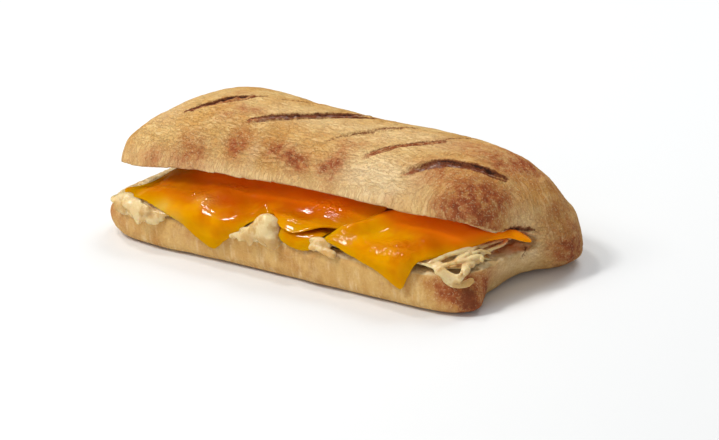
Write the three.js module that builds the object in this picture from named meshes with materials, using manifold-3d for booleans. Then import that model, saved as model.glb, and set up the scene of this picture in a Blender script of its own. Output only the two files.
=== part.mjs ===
// Grilled cheese ciabatta: a small roll sliced open from the front and left uncut along
// its back, filled with melted shredded cheese and slices of cheddar.
// Millimetres, +Z up, +X along the roll, -Y towards the open side.

import * as THREE from 'three';
import { mergeVertices } from 'three/addons/utils/BufferGeometryUtils.js';
import Module from 'manifold-3d';

const wasm = await Module();
wasm.setup();

const { smoothstep, lerp } = THREE.MathUtils;

// The roll.
const ROLL_LENGTH = 168;
const ROLL_WIDTH = 76;
const ROLL_HEIGHT = 46;
const BELLY_HEIGHT = 11;       // height of the widest level above the base
const END_SQUARENESS = 5.5;    // exponents of the rounding: along the roll,
const SIDE_SQUARENESS = 2.8;   // across it,
const DOME_ROUNDNESS = 1.75;   // over its top
const KEEL_ROUNDNESS = 10;     // and under its belly
const FLAT_SHARE = 0.85;       // share of the lower half kept before the flat base
const END_ZONE = [35, 84];     // where the roll's ends begin and stop bending
const FRONT_ZONE = 36;         // depth of the front in which the lid sets back
const CORNER_ZONE = [16, 34];  // where the lower right corner swells

// How far the real roll strays from an even block.
const TOP_HUMP = { rise: 2.2, x: -64, reach: 34 };
const TOP_FALL = { drop: 3, from: -55, to: 0 };
const RIGHT_TOP_DROP = 1.4;
const LID_SETBACK = 7;
const RIGHT_LID_TUCK = 1.5;
const RIGHT_TUCK = { low: 12, high: 8, from: -8, to: 18 };
const RIGHT_WAIST = { tuck: 4.5, corner: 9, swell: 5, y: 23, reach: 9 };
const RIGHT_CORNER_SWELL = 3.5;
const RIGHT_ARCH = { rise: 2, y: 2, reach: 8 };
const LEFT_LEAN = { along: 9, across: 6 };
const LEFT_BACK_TUCK = 5;
const LEFT_BULGE = { out: 4.5, z: 33, reach: 10 };
const LEFT_LIP_TUCK = { tuck: 3, from: 6, to: 14 };
const LEFT_KEEL = { rise: 4, from: 66, to: 90 };

// The cut.
const CUT_HEIGHT = 13.5;       // lower cut face above the base
const LID_BLEND = 12;          // height over which the lid's own bends come in
const CUT_GAPE = 14;           // how far the lid stands open at its front edge
const CUT_BACK_GAP = 0.9;      // width of the cut at its inner end
const HINGE_LEFT_Y = 18;
const HINGE_RIGHT_Y = 3;
const LID_FRONT_Y = -27;
const GAPE_SWELL = { rise: 1.3, reach: 45 };
const GAPE_LEFT = { drop: 3, from: 50, to: 84 };
const GAPE_OUTSIDE_RISE = 0.1; // slope of the lid's underside beyond its front edge
const MOUTH_REACH = 30;        // how far the cutter stands out of the roll
const MOUTH_CROWDING = 1.3;    // draws the cutter's rows towards the back

// Mesh density: pieces along the length, width and height.
const ROLL_STEPS = [40, 16, 10];
const MOUTH_STEPS = [24, 14, 1];
const REACH_HALVINGS = 40;

// The filling.
const FILL_PEAK = 8;
const FILL_GAP = 0.4;          // clearance between pieces that touch
const CUT_CLEARANCE = 0.3;     // and the least that a cut leaves between them
const EDGE_CLEARANCE = 0.2;  // added room round the edge of a slice
const FILL_ENDS = { left: [-96, -56], right: [40, 74], rightDrop: 0.8 };
const FILL_RISE = 0.5;         // share of the depth in which the filling rises
const FILL_FALL = { from: 0.45, drop: 0.65 };
const LIP_BEND = 3.2;          // radius in which a slice turns down over the lip
const DRAPE_PITCH = 0.96;      // depth into the cut for each millimetre along a slice
const LIP_LEFT_X = -79;
const LIP_RIGHT_X = 62;

const SLICE_THICKNESS = 2.4;
const MIDDLE_THICKNESS = 1.8;
const SLICE_SPOKES = 42;
const SLICE_RINGS = 14;

// The shredded cheese.
const CORE_SPOKES = 44;
const CORE_RINGS = 8;
const CORE_SLACK = 0.6;        // room between the core and the slices over it
const CORE_SKIN = 1.3;         // thickness of the melt outside the lip
const CORE_CLEARANCE = 0.15;   // added room between that melt and the wall
const CORE_FOOT_BLEND = 1.6;
const LIP_BLEND = 2;           // length over which a layer takes its form outside the lip
const SHRED_WIDTH = 2.4;
const SHRED_DEPTH = 1.8;
const SHRED_TAPER = 0.35;      // share of its width that a shred loses at its ends
const SHRED_SINK = 1.2;        // how deep a shred lies in the core behind the lip
const SHRED_LIFT = 0.4;        // and how far off the wall beyond it
const SHRED_STEPS = 4;
const SHRED_LENGTHS = [8, 13];
const SHRED_BITE = 3;          // least volume that a shred shares with the core
const SHRED_DRAWS = 60;
const SHRED_SEED = 6;

const bump = (t) => Math.exp(-t * t);

function solidOf(geometry) {
  const bare = geometry.clone();
  bare.deleteAttribute('normal');
  bare.deleteAttribute('uv');
  const merged = mergeVertices(bare, 1e-4);
  const mesh = new wasm.Mesh({
    numProp: 3,
    vertProperties: new Float32Array(merged.attributes.position.array),
    triVerts: new Uint32Array(merged.index.array),
  });
  return new wasm.Manifold(mesh);
}

function geometryOf(solid) {
  const mesh = solid.getMesh();
  const geometry = new THREE.BufferGeometry();
  geometry.setAttribute('position', new THREE.Float32BufferAttribute(mesh.vertProperties, 3));
  geometry.setIndex(new THREE.Uint32BufferAttribute(mesh.triVerts, 1));
  geometry.computeVertexNormals();
  return geometry;
}

// Moves every corner of a geometry through a function of its place.
function reshape(geometry, place) {
  const spots = geometry.attributes.position;
  const point = new THREE.Vector3();
  for (let i = 0; i < spots.count; i += 1) {
    point.fromBufferAttribute(spots, i);
    place(point);
    spots.setXYZ(i, point.x, point.y, point.z);
  }
  return geometry;
}

// How far along a direction the rounded block of unit half sizes reaches.
function skinReach(direction) {
  const { x, y, z } = direction;
  const upright = z > 0 ? DOME_ROUNDNESS : KEEL_ROUNDNESS;
  let inside = 0;
  let outside = 2;
  for (let i = 0; i < REACH_HALVINGS; i += 1) {
    const middle = (inside + outside) / 2;
    const size = Math.abs(x * middle) ** END_SQUARENESS
      + Math.abs(y * middle) ** SIDE_SQUARENESS + Math.abs(z * middle) ** upright;
    if (size < 1) inside = middle;
    else outside = middle;
  }
  return inside;
}

// A point of the roll's skin in the direction of a unit cube's surface point.
function rollSkin(point, grow) {
  const halfLength = ROLL_LENGTH / 2 + grow;
  const halfWidth = ROLL_WIDTH / 2 + grow;
  point.normalize();
  point.multiplyScalar(skinReach(point));
  point.x *= halfLength;
  point.y *= halfWidth;
  if (point.z > 0) point.z = BELLY_HEIGHT + point.z * (ROLL_HEIGHT - BELLY_HEIGHT + grow);
  else point.z = BELLY_HEIGHT + (Math.max(point.z, -FLAT_SHARE) / FLAT_SHARE) * (BELLY_HEIGHT + grow);
  bendRoll(point);
}

// The unevenness of the real roll.
function bendRoll(point) {
  const { x, y, z } = point;
  const high = smoothstep(z, CUT_HEIGHT, CUT_HEIGHT + LID_BLEND);
  const low = 1 - smoothstep(z, 0, CUT_HEIGHT);
  const toRight = smoothstep(x, ...END_ZONE);
  const toLeft = smoothstep(-x, ...END_ZONE);
  const toFront = smoothstep(-y, 0, FRONT_ZONE);
  const toBack = smoothstep(y, 0, FRONT_ZONE);
  const toCorner = smoothstep(-y, ...CORNER_ZONE);
  // The top falls from a hump near the left end to the right end.
  const hump = TOP_HUMP.rise * bump((x - TOP_HUMP.x) / TOP_HUMP.reach);
  const fall = TOP_FALL.drop * smoothstep(x, TOP_FALL.from, TOP_FALL.to);
  point.z += high * (hump - fall - RIGHT_TOP_DROP * toRight);
  // The lid sits further back than the lower lip.
  point.y += LID_SETBACK * high * toFront;
  // The right end slants in towards the front, and its two lower corners stand out.
  const tuck = lerp(RIGHT_TUCK.low, RIGHT_TUCK.high, high);
  const slant = tuck * (1 - smoothstep(y, RIGHT_TUCK.from, RIGHT_TUCK.to));
  const backSwell = RIGHT_WAIST.swell * bump((y - RIGHT_WAIST.y) / RIGHT_WAIST.reach);
  point.x -= toRight * (RIGHT_LID_TUCK * high + slant);
  point.x += toRight * low * (RIGHT_WAIST.corner * toCorner - RIGHT_WAIST.tuck + backSwell);
  point.y -= RIGHT_CORNER_SWELL * toRight * toCorner * low;
  point.z += RIGHT_ARCH.rise * low * toRight * bump((y - RIGHT_ARCH.y) / RIGHT_ARCH.reach);
  // The left end leans towards the front, stays blunt and rises at its tip.
  point.x -= LEFT_LEAN.along * toLeft * toFront;
  point.y -= LEFT_LEAN.across * toLeft * toFront;
  point.x += LEFT_BACK_TUCK * toLeft * toBack;
  point.x -= LEFT_BULGE.out * toLeft * bump((z - LEFT_BULGE.z) / LEFT_BULGE.reach);
  point.x += LEFT_LIP_TUCK.tuck * toLeft * (1 - high) * smoothstep(z, LEFT_LIP_TUCK.from, LEFT_LIP_TUCK.to);
  point.z += LEFT_KEEL.rise * low * smoothstep(-x, LEFT_KEEL.from, LEFT_KEEL.to);
}

function rollSolid(grow = 0) {
  const box = new THREE.BoxGeometry(2, 2, 2, ...ROLL_STEPS);
  return solidOf(reshape(box, (point) => rollSkin(point, grow)));
}

// The opening between the lower half and the lid.
const hingeY = (x) => lerp(HINGE_LEFT_Y, HINGE_RIGHT_Y, (x + ROLL_LENGTH / 2) / ROLL_LENGTH);

function lidUnderside(x, y) {
  const share = (hingeY(x) - y) / (hingeY(x) - LID_FRONT_Y);
  const rise = share < 1 ? 1 - (1 - share) ** 2 : 1 + GAPE_OUTSIDE_RISE * (share - 1);
  const swell = GAPE_SWELL.rise * bump(x / GAPE_SWELL.reach);
  const gape = CUT_GAPE + swell - GAPE_LEFT.drop * smoothstep(-x, GAPE_LEFT.from, GAPE_LEFT.to);
  return CUT_HEIGHT + CUT_BACK_GAP + (gape - CUT_BACK_GAP) * rise;
}

function mouthSolid(shrink = 0) {
  const box = new THREE.BoxGeometry(1, 1, 1, ...MOUTH_STEPS);
  return solidOf(reshape(box, (point) => {
    const x = point.x * (ROLL_LENGTH + 2 * MOUTH_REACH);
    const depth = (0.5 - point.y) ** MOUTH_CROWDING;
    const y = lerp(hingeY(x) - shrink, -ROLL_WIDTH / 2 - MOUTH_REACH, depth);
    const top = lidUnderside(x, y) - shrink;
    point.set(x, y, point.z > 0 ? top : CUT_HEIGHT + shrink);
  }));
}

const roll = rollSolid();
const rollMesh = new THREE.Mesh(geometryOf(roll));
const caster = new THREE.Raycaster();

// Where a ray from outside first meets the uncut roll.
function meetRoll(from, direction) {
  caster.set(from, direction);
  const [hit] = caster.intersectObject(rollMesh);
  return hit ? hit.point : null;
}

const topZ = (x, y) => meetRoll(new THREE.Vector3(x, y, 2 * ROLL_HEIGHT), new THREE.Vector3(0, 0, -1)).z;

function frontY(x, z) {
  const hit = meetRoll(new THREE.Vector3(x, -ROLL_WIDTH, z), new THREE.Vector3(0, 1, 0));
  return hit ? hit.y : HINGE_LEFT_Y;
}

// The baker's slashes, opened by the oven: a bowed lens pressed into the top crust.
function slashSolid({ from, to, bow, width, depth }) {
  const start = new THREE.Vector2(...from);
  const along = new THREE.Vector2(...to).sub(start);
  const across = new THREE.Vector2(along.y, -along.x).normalize();
  const lens = new THREE.SphereGeometry(1, 8, 12);
  return solidOf(reshape(lens, (point) => {
    const share = (point.y + 1) / 2;
    const slim = Math.sqrt(Math.max(1 - point.y ** 2, 0));
    const middle = start.clone().addScaledVector(along, share).addScaledVector(across, -bow * slim ** 2);
    const spot = middle.clone().addScaledVector(across, point.x * width / 2);
    point.set(spot.x, spot.y, topZ(middle.x, middle.y) + point.z * depth);
  }));
}

const SLASHES = [
  { from: [-62, -14], to: [-42, 4], bow: -0.5, width: 4.5, depth: 2.6 },
  { from: [-34, -13], to: [0, 14], bow: 1.5, width: 5, depth: 3 },
  { from: [-2, -12], to: [19, 9], bow: 1, width: 2.6, depth: 1.4 },
  { from: [16, -15], to: [37, 6], bow: 1.5, width: 4.5, depth: 2 },
  { from: [33, -17], to: [63, 3], bow: 3, width: 6.5, depth: 3.2 },
];

let bread = roll.subtract(mouthSolid());
for (const slash of SLASHES) bread = bread.subtract(slashSolid(slash));

const lipY = (x) => frontY(THREE.MathUtils.clamp(x, LIP_LEFT_X, LIP_RIGHT_X), CUT_HEIGHT - 1);

// How high the filling stands under the slices.
function fillTop(x, y) {
  const depth = (hingeY(x) - y) / (hingeY(x) - lipY(x));
  const left = smoothstep(x, ...FILL_ENDS.left);
  const right = 1 - FILL_ENDS.rightDrop * smoothstep(x, ...FILL_ENDS.right);
  const rise = smoothstep(depth, 0, FILL_RISE);
  const fall = 1 - FILL_FALL.drop * smoothstep(depth, FILL_FALL.from, 1);
  return CUT_HEIGHT + FILL_GAP + FILL_PEAK * left * right * rise * fall;
}

// A point of a draped sheet: s runs from the lip inwards below zero and down the wall
// above zero, and height is measured out from what the sheet lies on.
function drape(x, s, height) {
  const lip = lipY(x) + LIP_BEND - FILL_GAP;
  const lipZ = fillTop(x, lip);
  if (s < 0) {
    const y = lip - s * DRAPE_PITCH;
    return new THREE.Vector3(x, y, fillTop(x, y) + height);
  }
  const turn = Math.min(s / LIP_BEND, Math.PI / 2);
  const hang = Math.max(s - LIP_BEND * Math.PI / 2, 0);
  const z = lipZ - LIP_BEND * (1 - Math.cos(turn)) - hang;
  let y = lip - LIP_BEND * Math.sin(turn);
  if (z < CUT_HEIGHT) y = Math.min(y, frontY(x, z) - FILL_GAP);
  return new THREE.Vector3(x, y - height * Math.sin(turn), z + height * Math.cos(turn));
}

// One well behind the lip, falling to zero at it.
const behindLip = (s) => 1 - smoothstep(s, -8, -1);

// The cheddar slices. An outline is a smooth closed line in the draped sheet's own
// x and s, and lift says how far the slice is raised by one that lies under it.
const LEFT_SLICE = {
  thickness: SLICE_THICKNESS,
  centre: [-25, -18],
  outline: [
    [-78.5, -2.5], [-61.5, 1.7], [-46, 6], [-37, 11.2], [-31.5, 13], [-27, 9.4], [-19.5, 3.8],
    [-16, -1], [-14.5, -5.8], [-11.5, -4.5], [-6, 0.6], [2, 2.2], [8.5, 0.5], [13, -3.5],
    [22, -8], [27, -14.5], [25.5, -19], [22, -31], [6, -35], [-30, -40], [-58, -34], [-69, -14],
  ],
  lift: (x, s) => (MIDDLE_THICKNESS + FILL_GAP) * (1 - behindLip(s)) * smoothstep(x, -16, -9),
};

const MIDDLE_SLICE = {
  thickness: MIDDLE_THICKNESS,
  centre: [1, -10],
  outline: [
    [-10, -6], [-6.5, 1], [-3, 4.2], [3, 6], [8, 5.8], [12, 3.5], [12.5, -4], [13, -24],
    [2, -29], [-12, -24],
  ],
  lift: (x, s) => -(MIDDLE_THICKNESS + FILL_GAP) * behindLip(s),
};

// The right slice laps over the left one along a slanting line.
const LAP_SLANT = 0.95;
const LAP_ZONE = [17.5, 24];
const LAP_LIP_DROP = 0.7;

const RIGHT_SLICE = {
  thickness: SLICE_THICKNESS,
  centre: [44, -14],
  outline: [
    [13.5, 1], [20, 2.8], [30, 5.1], [38, 7.6], [46, 11.4], [48.5, 7], [50.5, 2.5],
    [55, -2], [60.5, -8.5], [66, -20], [73.5, -25.5], [71.5, -29.5], [60, -29], [50, -30],
    [36, -27], [29, -17.5], [18.5, -5.5],
  ],
  lift: (x, s) => {
    const nearLeftSlice = 1 - smoothstep(x + LAP_SLANT * s, ...LAP_ZONE);
    const atLip = 1 - LAP_LIP_DROP * smoothstep(s, -4, 0);
    return (SLICE_THICKNESS + FILL_GAP) * nearLeftSlice * atLip * smoothstep(s, -19, -15);
  },
};

function sliceSolid({ thickness, centre, outline, lift }, grow = 0, spread = 0) {
  const points = outline.map(([x, s]) => new THREE.Vector3(x, s, 0));
  const edge = new THREE.CatmullRomCurve3(points, true, 'centripetal');
  const middle = new THREE.Vector3(...centre, 0);
  const ball = new THREE.SphereGeometry(1, SLICE_SPOKES, SLICE_RINGS);
  ball.rotateX(Math.PI / 2);
  return solidOf(reshape(ball, (point) => {
    const round = Math.hypot(point.x, point.y);
    const turn = 0.5 + Math.atan2(point.y, point.x) / (2 * Math.PI);
    const rim = edge.getPointAt((Math.round(turn * SLICE_SPOKES) / SLICE_SPOKES) % 1);
    const spot = middle.clone().lerp(rim, round * (1 + spread / middle.distanceTo(rim)));
    const level = 0.5 + 0.5 * Math.sign(point.z) * Math.abs(point.z) ** 0.5;
    const height = lift(spot.x, spot.y) + FILL_GAP + lerp(-grow, thickness + grow, level);
    point.copy(drape(spot.x, spot.y, height));
  }));
}

// The shredded cheese: a melted core that runs over the lip in places, with the shreds
// that show fused to it.
const CORE_CENTRE = [-6, -16];
const CORE_OUTLINE = [
  [-79, -5], [-79.5, 1.5], [-74, 5.5], [-62, 5.5], [-53, 5.5], [-49, 0.5], [-30, 0], [-24, 1],
  [-21, 6], [-10, 5.5], [-5, 0.5], [7, 0.5], [22, 0.5], [50, 0.5], [57, 3], [63, 1], [66, -3],
  [70, -10], [72, -20], [66, -27], [40, -30], [0, -34], [-40, -38], [-64, -30], [-73, -16],
];

// The core's upper and lower faces at a place of the drape.
function coreTop(x, s) {
  const underSlice = smoothstep(x, -19, -13) * (1 - smoothstep(x, 14, 20));
  const dip = CORE_SLACK + (MIDDLE_THICKNESS + FILL_GAP) * behindLip(s) * underSlice;
  return drape(x, s, lerp(-dip, CORE_SKIN, smoothstep(s, 0, LIP_BLEND)));
}

function coreFoot(x, s) {
  const foot = drape(x, s, CORE_CLEARANCE);
  foot.z = lerp(CUT_HEIGHT + FILL_GAP, foot.z, smoothstep(s, 0, CORE_FOOT_BLEND));
  return foot;
}

function coreSolid() {
  const points = CORE_OUTLINE.map(([x, s]) => new THREE.Vector3(x, s, 0));
  const edge = new THREE.CatmullRomCurve3(points, true, 'centripetal');
  const middle = new THREE.Vector3(...CORE_CENTRE, 0);
  const ball = new THREE.SphereGeometry(1, CORE_SPOKES, CORE_RINGS);
  ball.rotateX(Math.PI / 2);
  return solidOf(reshape(ball, (point) => {
    const turn = 0.5 + Math.atan2(point.y, point.x) / (2 * Math.PI);
    const rim = edge.getPointAt((Math.round(turn * CORE_SPOKES) / CORE_SPOKES) % 1);
    const spot = middle.clone().lerp(rim, Math.hypot(point.x, point.y));
    const level = 0.5 + 0.5 * Math.sign(point.z) * Math.abs(point.z) ** 0.5;
    point.copy(coreFoot(spot.x, spot.y).lerp(coreTop(spot.x, spot.y), level));
  }));
}

// One shred: a soft strip laid on the drape, bent in its own plane.
function shredSolid({ x, s, turn, bend, length }) {
  const strip = new THREE.BoxGeometry(1, 1, 1, SHRED_STEPS, 1, 1);
  const radius = length / bend;
  return solidOf(reshape(strip, (point) => {
    const heading = turn + bend * point.x;
    const alongX = radius * (Math.sin(heading) - Math.sin(turn));
    const alongS = radius * (Math.cos(turn) - Math.cos(heading));
    const side = -point.y * SHRED_WIDTH * (1 - SHRED_TAPER * Math.abs(2 * point.x) ** 3);
    const placeX = x + alongX - side * Math.sin(heading);
    const placeS = s + alongS + side * Math.cos(heading);
    const foot = lerp(-SHRED_SINK, SHRED_LIFT, smoothstep(placeS, 0, LIP_BLEND));
    point.copy(drape(placeX, placeS, foot + (point.z + 0.5) * SHRED_DEPTH));
  }));
}

// A repeatable draw between zero and one.
function seededDraw(seed) {
  let state = seed;
  return () => {
    state = (state * 16807) % 2147483647;
    return state / 2147483647;
  };
}

const CURLED_SHRED = { x: 62.5, s: 5, turn: 0.1, bend: -2.7, length: 20 };
const CLUMPS = [
  { fromX: -77, toX: -52, innerS: 1, outerS: 5, count: 6 },
  { fromX: -20, toX: -8, innerS: -2, outerS: 5, count: 4 },
  { fromX: 54, toX: 69, innerS: -9, outerS: 1, count: 6 },
];

const leftSlice = sliceSolid(LEFT_SLICE);
const middleSlice = sliceSolid(MIDDLE_SLICE);
const rightSlice = sliceSolid(RIGHT_SLICE);
const shared = (one, other) => one.intersect(other).volume();

// Adds shreds at drawn places, passing over each place where one would cross a slice or
// the bread, or would hardly touch the core.
function addShreds(core, keepClear) {
  const draw = seededDraw(SHRED_SEED);
  let heap = core.add(shredSolid(CURLED_SHRED));
  for (const { fromX, toX, innerS, outerS, count } of CLUMPS) {
    let placed = 0;
    for (let i = 0; i < SHRED_DRAWS && placed < count; i += 1) {
      const shred = shredSolid({
        x: lerp(fromX, toX, draw()),
        s: lerp(innerS, outerS, draw()),
        turn: Math.PI * draw(),
        bend: 2 * (draw() - 0.5),
        length: lerp(...SHRED_LENGTHS, draw()),
      });
      const clear = keepClear.every((other) => shared(shred, other) === 0);
      if (clear && shared(shred, core) > SHRED_BITE) {
        heap = heap.add(shred);
        placed += 1;
      }
    }
  }
  return heap;
}

const slicesGrown = [LEFT_SLICE, MIDDLE_SLICE, RIGHT_SLICE]
  .map((slice) => sliceSolid(slice, CUT_CLEARANCE, EDGE_CLEARANCE));
const breadGrown = rollSolid(CUT_CLEARANCE).subtract(mouthSolid(CUT_CLEARANCE));
const core = slicesGrown.reduce((rest, slice) => rest.subtract(slice), coreSolid());
const shredded = addShreds(core, [...slicesGrown, breadGrown]);

const crust = new THREE.MeshStandardMaterial({ color: 0xd9a25c, roughness: 0.8, metalness: 0 });
const cheddar = new THREE.MeshStandardMaterial({ color: 0xe08a10, roughness: 0.3, metalness: 0 });
const softCheese = new THREE.MeshStandardMaterial({ color: 0xf3e6c4, roughness: 0.4, metalness: 0 });

const group = new THREE.Group();

function addNode(name, solid, material) {
  const mesh = new THREE.Mesh(geometryOf(solid), material);
  mesh.name = name;
  group.add(mesh);
}

addNode('bread', bread, crust);
addNode('shredded_cheese', shredded, softCheese);
addNode('cheddar_slice_left', leftSlice, cheddar.clone());
addNode('cheddar_slice_middle', middleSlice, cheddar.clone());
addNode('cheddar_slice_right', rightSlice, cheddar.clone());

// The origin lies under the middle of the whole, level with its base.
const box = new THREE.Box3().setFromObject(group);
const middle = box.getCenter(new THREE.Vector3());
for (const mesh of group.children) mesh.geometry.translate(-middle.x, -middle.y, -box.min.z);

export default group;
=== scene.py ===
import math
import random
from itertools import product

import bpy
import numpy as np
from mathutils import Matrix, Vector
from mathutils.bvhtree import BVHTree
from mathutils.kdtree import KDTree


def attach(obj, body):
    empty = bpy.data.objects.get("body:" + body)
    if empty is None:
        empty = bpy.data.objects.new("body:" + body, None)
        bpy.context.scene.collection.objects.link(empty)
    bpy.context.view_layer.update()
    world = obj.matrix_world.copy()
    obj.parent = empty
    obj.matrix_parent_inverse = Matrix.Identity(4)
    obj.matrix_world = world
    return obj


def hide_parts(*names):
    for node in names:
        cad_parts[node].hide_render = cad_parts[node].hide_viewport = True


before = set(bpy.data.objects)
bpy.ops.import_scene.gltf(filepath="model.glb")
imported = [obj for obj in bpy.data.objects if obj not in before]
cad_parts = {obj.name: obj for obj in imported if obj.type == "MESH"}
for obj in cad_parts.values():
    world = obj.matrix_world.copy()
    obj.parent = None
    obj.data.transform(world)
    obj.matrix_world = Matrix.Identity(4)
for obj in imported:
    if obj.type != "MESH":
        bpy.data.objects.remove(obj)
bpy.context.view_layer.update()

bl_info = {
    "name": "Grilled Cheese Ciabatta",
    "version": (1, 0, 0),
    "blender": (4, 5, 0),
    "location": "3D View > Sidebar > Ciabatta",
    "description": "Dresses the packed solids of a grilled cheese ciabatta as baked bread and melted cheese",
    "category": "Object",
}

MM = 0.001
MERGING = 1e-6

# The cut and the filling, in millimetres of the frame.
CUT_HEIGHT = 13.5
HINGE_Y = ((-81.8, 19.7), (86.2, 4.7))
FILL_PEAK = 8.0
FILL_GAP = 0.4
LIP_BEND = 3.2
LIP_ENDS = (-76.8, 64.2)
DRAPE_PITCH = 0.96
SLICE_THICKNESS = 2.4
MIDDLE_THICKNESS = 1.8

# Where one thing passes into the next, in millimetres: none of it at the first place of a
# pair, and all of it at the second.
LID_FROM = (13.6, 14.6)
CUT_FACE_FROM = (12.2, 13)
CUT_FACE_TO = (14.2, 15.4)
BASE_TO = (1, 3)
SINKING_FROM = (15.5, 18.5)
SLASHED_FROM = (24, 28)
FRONT_GRAIN_OUT = (15, 24)
FRONT_GRAIN_TO = (30, 37)
RINGS_ALONG = (36, 50)
RINGS_FROM = (20, 26)
SIDE_OUT = (20, 30)
SIDE_TO = (13, 17)
LIP_TO = (-8, -1)

# The slashes as seen from above: where each starts and stops, how far it bows to the
# front, its width, how far it has risen shut, how far its dark edge lies in front of its
# middle, how wide the bed in front of the edge is, how charred and how ashen it is, and
# how faint its left end is.
SLASHES = tuple(
    dict(zip(("start", "stop", "bow", "width", "fill", "edge", "bed", "char", "ash", "faint"), slash))
    for slash in (
        ((-59, -12.2), (-40.3, 6.2), -0.5, 4.5, 1, -1.4, 2.6, 1, 0, 0),
        ((-31.8, -11.3), (4.2, 17.3), 1.5, 5, 2.4, -0.9, 3.2, 1, 1, 0),
        ((0.2, -10.3), (23.2, 15.7), 1, 2.6, 0.7, 0.4, 0.3, 0.45, 0, 0.3),
        ((18.2, -13.3), (39.2, 7.7), 1.5, 4.5, 1.6, 1, 2.2, 0.66, 0, 0.4),
        ((35.2, -15.3), (65.2, 4.7), 3, 6.5, 3, 2.7, 2.3, 1, 1, 0.75),
        ((-41.5, 4), (-36.5, 9), 0, 1.8, 0, 0, 0.3, 0.5, 0, 0),
        ((-32.5, 9), (-16, 19), 0.3, 1.6, 0, 0, 0.3, 0.4, 0, 0),
        ((37.5, 8), (44, 18), 0.4, 2, 0, 0, 0.6, 0.5, 0.2, 0),
    )
)

# Browned places of the crust: centre, reach along each axis, and strength.
BROWNED = (
    ((-63, -25, 30), (5, 5, 5), 0.85),
    ((-48, -22.5, 34.5), (8, 7, 6.5), 0.95),
    ((-31.2, -18.4, 38.5), (5.5, 6, 6), 1.2),
    ((-39, -11, 44.5), (5.5, 3.5, 3), 0.65),
    ((-36, -4.5, 45.5), (7, 3.5, 3), 0.8),
    ((-47, 6.5, 46.5), (5, 3, 3), 0.35),
    ((-5.5, -18.5, 35.5), (6, 5, 5), 1.05),
    ((-14, -16.5, 38.5), (7.5, 5, 4.5), 0.95),
    ((-8, -8, 42.8), (9, 4, 3), 0.35),
    ((11, -8.5, 42), (6, 4, 3), 0.7),
    ((10, -14.5, 39.5), (4.6, 5, 4.5), 0.9),
    ((7.5, -19, 34.5), (4.5, 4.5, 6), 0.95),
    ((34.4, -21.4, 31.8), (2.5, 2.5, 2.5), 0.6),
    ((50, -11, 38.5), (10, 6, 5), 0.75),
    ((62, -7, 34.5), (9, 10, 7), 1),
    ((45, 5, 42.5), (9, 6, 3), 0.4),
    ((53, 9, 41), (10, 8, 4), 0.6),
    ((62, 9, 38), (8, 8, 5), 0.6),
    ((63.5, -14.5, 29), (7, 7, 7), 1.25),
    ((67.5, -12, 26.5), (3, 3.5, 3.5), 0.7),
    ((54.5, -19.5, 31), (5, 4, 4.5), 1.1),
    ((70, 8, 30), (7, 10, 6), 0.3),
    ((64, 19, 35.5), (11, 9, 5), 0.85),
    ((72, 24, 27), (7, 8, 7), 0.6),
    ((80, 16, 22), (6, 12, 8), 0.75),
    ((84, 15, 9), (6, 13, 11), 1.3),
    ((71.5, -28.5, 6), (8, 8, 7.5), 2.8),
    ((-79, -32, 9), (4, 4, 3.5), 0.8),
    ((-40, -37, 8), (7, 4, 3), 0.4),
    ((2, -38, 9), (6, 4, 3), 0.3),
    ((57, -33, 11.5), (5, 4, 3), 0.4),
    ((42.5, -17.5, 37), (5, 4, 4), 0.3),
    ((68, -4, 31), (5, 6, 6), 0.5),
    ((-47.3, -25.1, 29.7), (6, 4, 3.5), 0.55),
    ((-75, -24, 30), (5, 5, 5), 0.25),
    ((-72.5, -35.8, 7.6), (5, 4, 3.5), 0.5),
    ((61.5, -32, 8.6), (4.5, 4, 4), 0.8),
    ((-20, 32, 30), (30, 12, 12), 0.5),
    ((35, 33, 26), (22, 12, 12), 0.65),
    ((-62, 26, 34), (16, 12, 10), 0.5),
)

# Paler places, where the crust is stretched or was shaded, and places of painted sheen, a painted highlight
# and painted light: centre, reach and strength.
PALE_AND_PAINTED_LIGHT = (
    ((-30, -25, 28.5), (45, 5, 4.5), 0.7),
    ((-23, -19.5, 36), (2.5, 4, 5), 0.5),
    # Painted sheen along the top.
    ((0, 2, 45), (45, 9, 4), 0.45),
    # A painted highlight on the front of the top, right of the middle.
    ((27, -18, 35), (16, 10, 9), 1.25),
    ((73, 0, 21), (5, 7, 7), 0.6),
    ((0, -38, 4), (80, 5, 6), 0.45),
    ((20, -38, 12), (14, 4, 4), 0.55),
    # Painted light on the shaded wall at the right end.
    ((76, -12, 8), (6, 14, 9), 1),
    # Painted sheen on the top, right of the middle.
    ((30, 6, 43), (20, 9, 3), 0.3),
    ((75.7, 0, 12.8), (4, 4, 4), 0.8),
    ((-67, -11, 41), (10, 8, 6), 0.5),
)

# Places where the baked skin is pulled away from the solid's: centre, reach and shift.
PULLED = (
    ((-76, -22, 28), (6, 12, 7), (-2.2, 0, 0)),
    ((70, -28, 2.5), (9, 8, 8), (4.4, -0.4, 0)),
    ((-80, -30, 8), (6, 8, 5), (-1.2, 0, 0)),
    ((84, 14, 5), (6, 7, 5), (0.5, -1.8, 0)),
    ((84, 18, 15), (8, 14, 8), (-0.6, 0, 0)),
    ((84, 18, 0.5), (6, 9, 4.5), (-0.3, 0, 1.6)),
)

# Where the lid has sunk onto the cheese: centre, reach and fall.
SUNK = (((65, -11, 22), (9.5, 11, 5), 4.6),)

# Places baked darkest: centre, reach and strength.
SCORCHED = (
    ((70.5, -30, 6), (4.5, 4.5, 4), 0.7),
    ((64.5, -14, 25.5), (3, 3, 2.5), 0.3),
)

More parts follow.
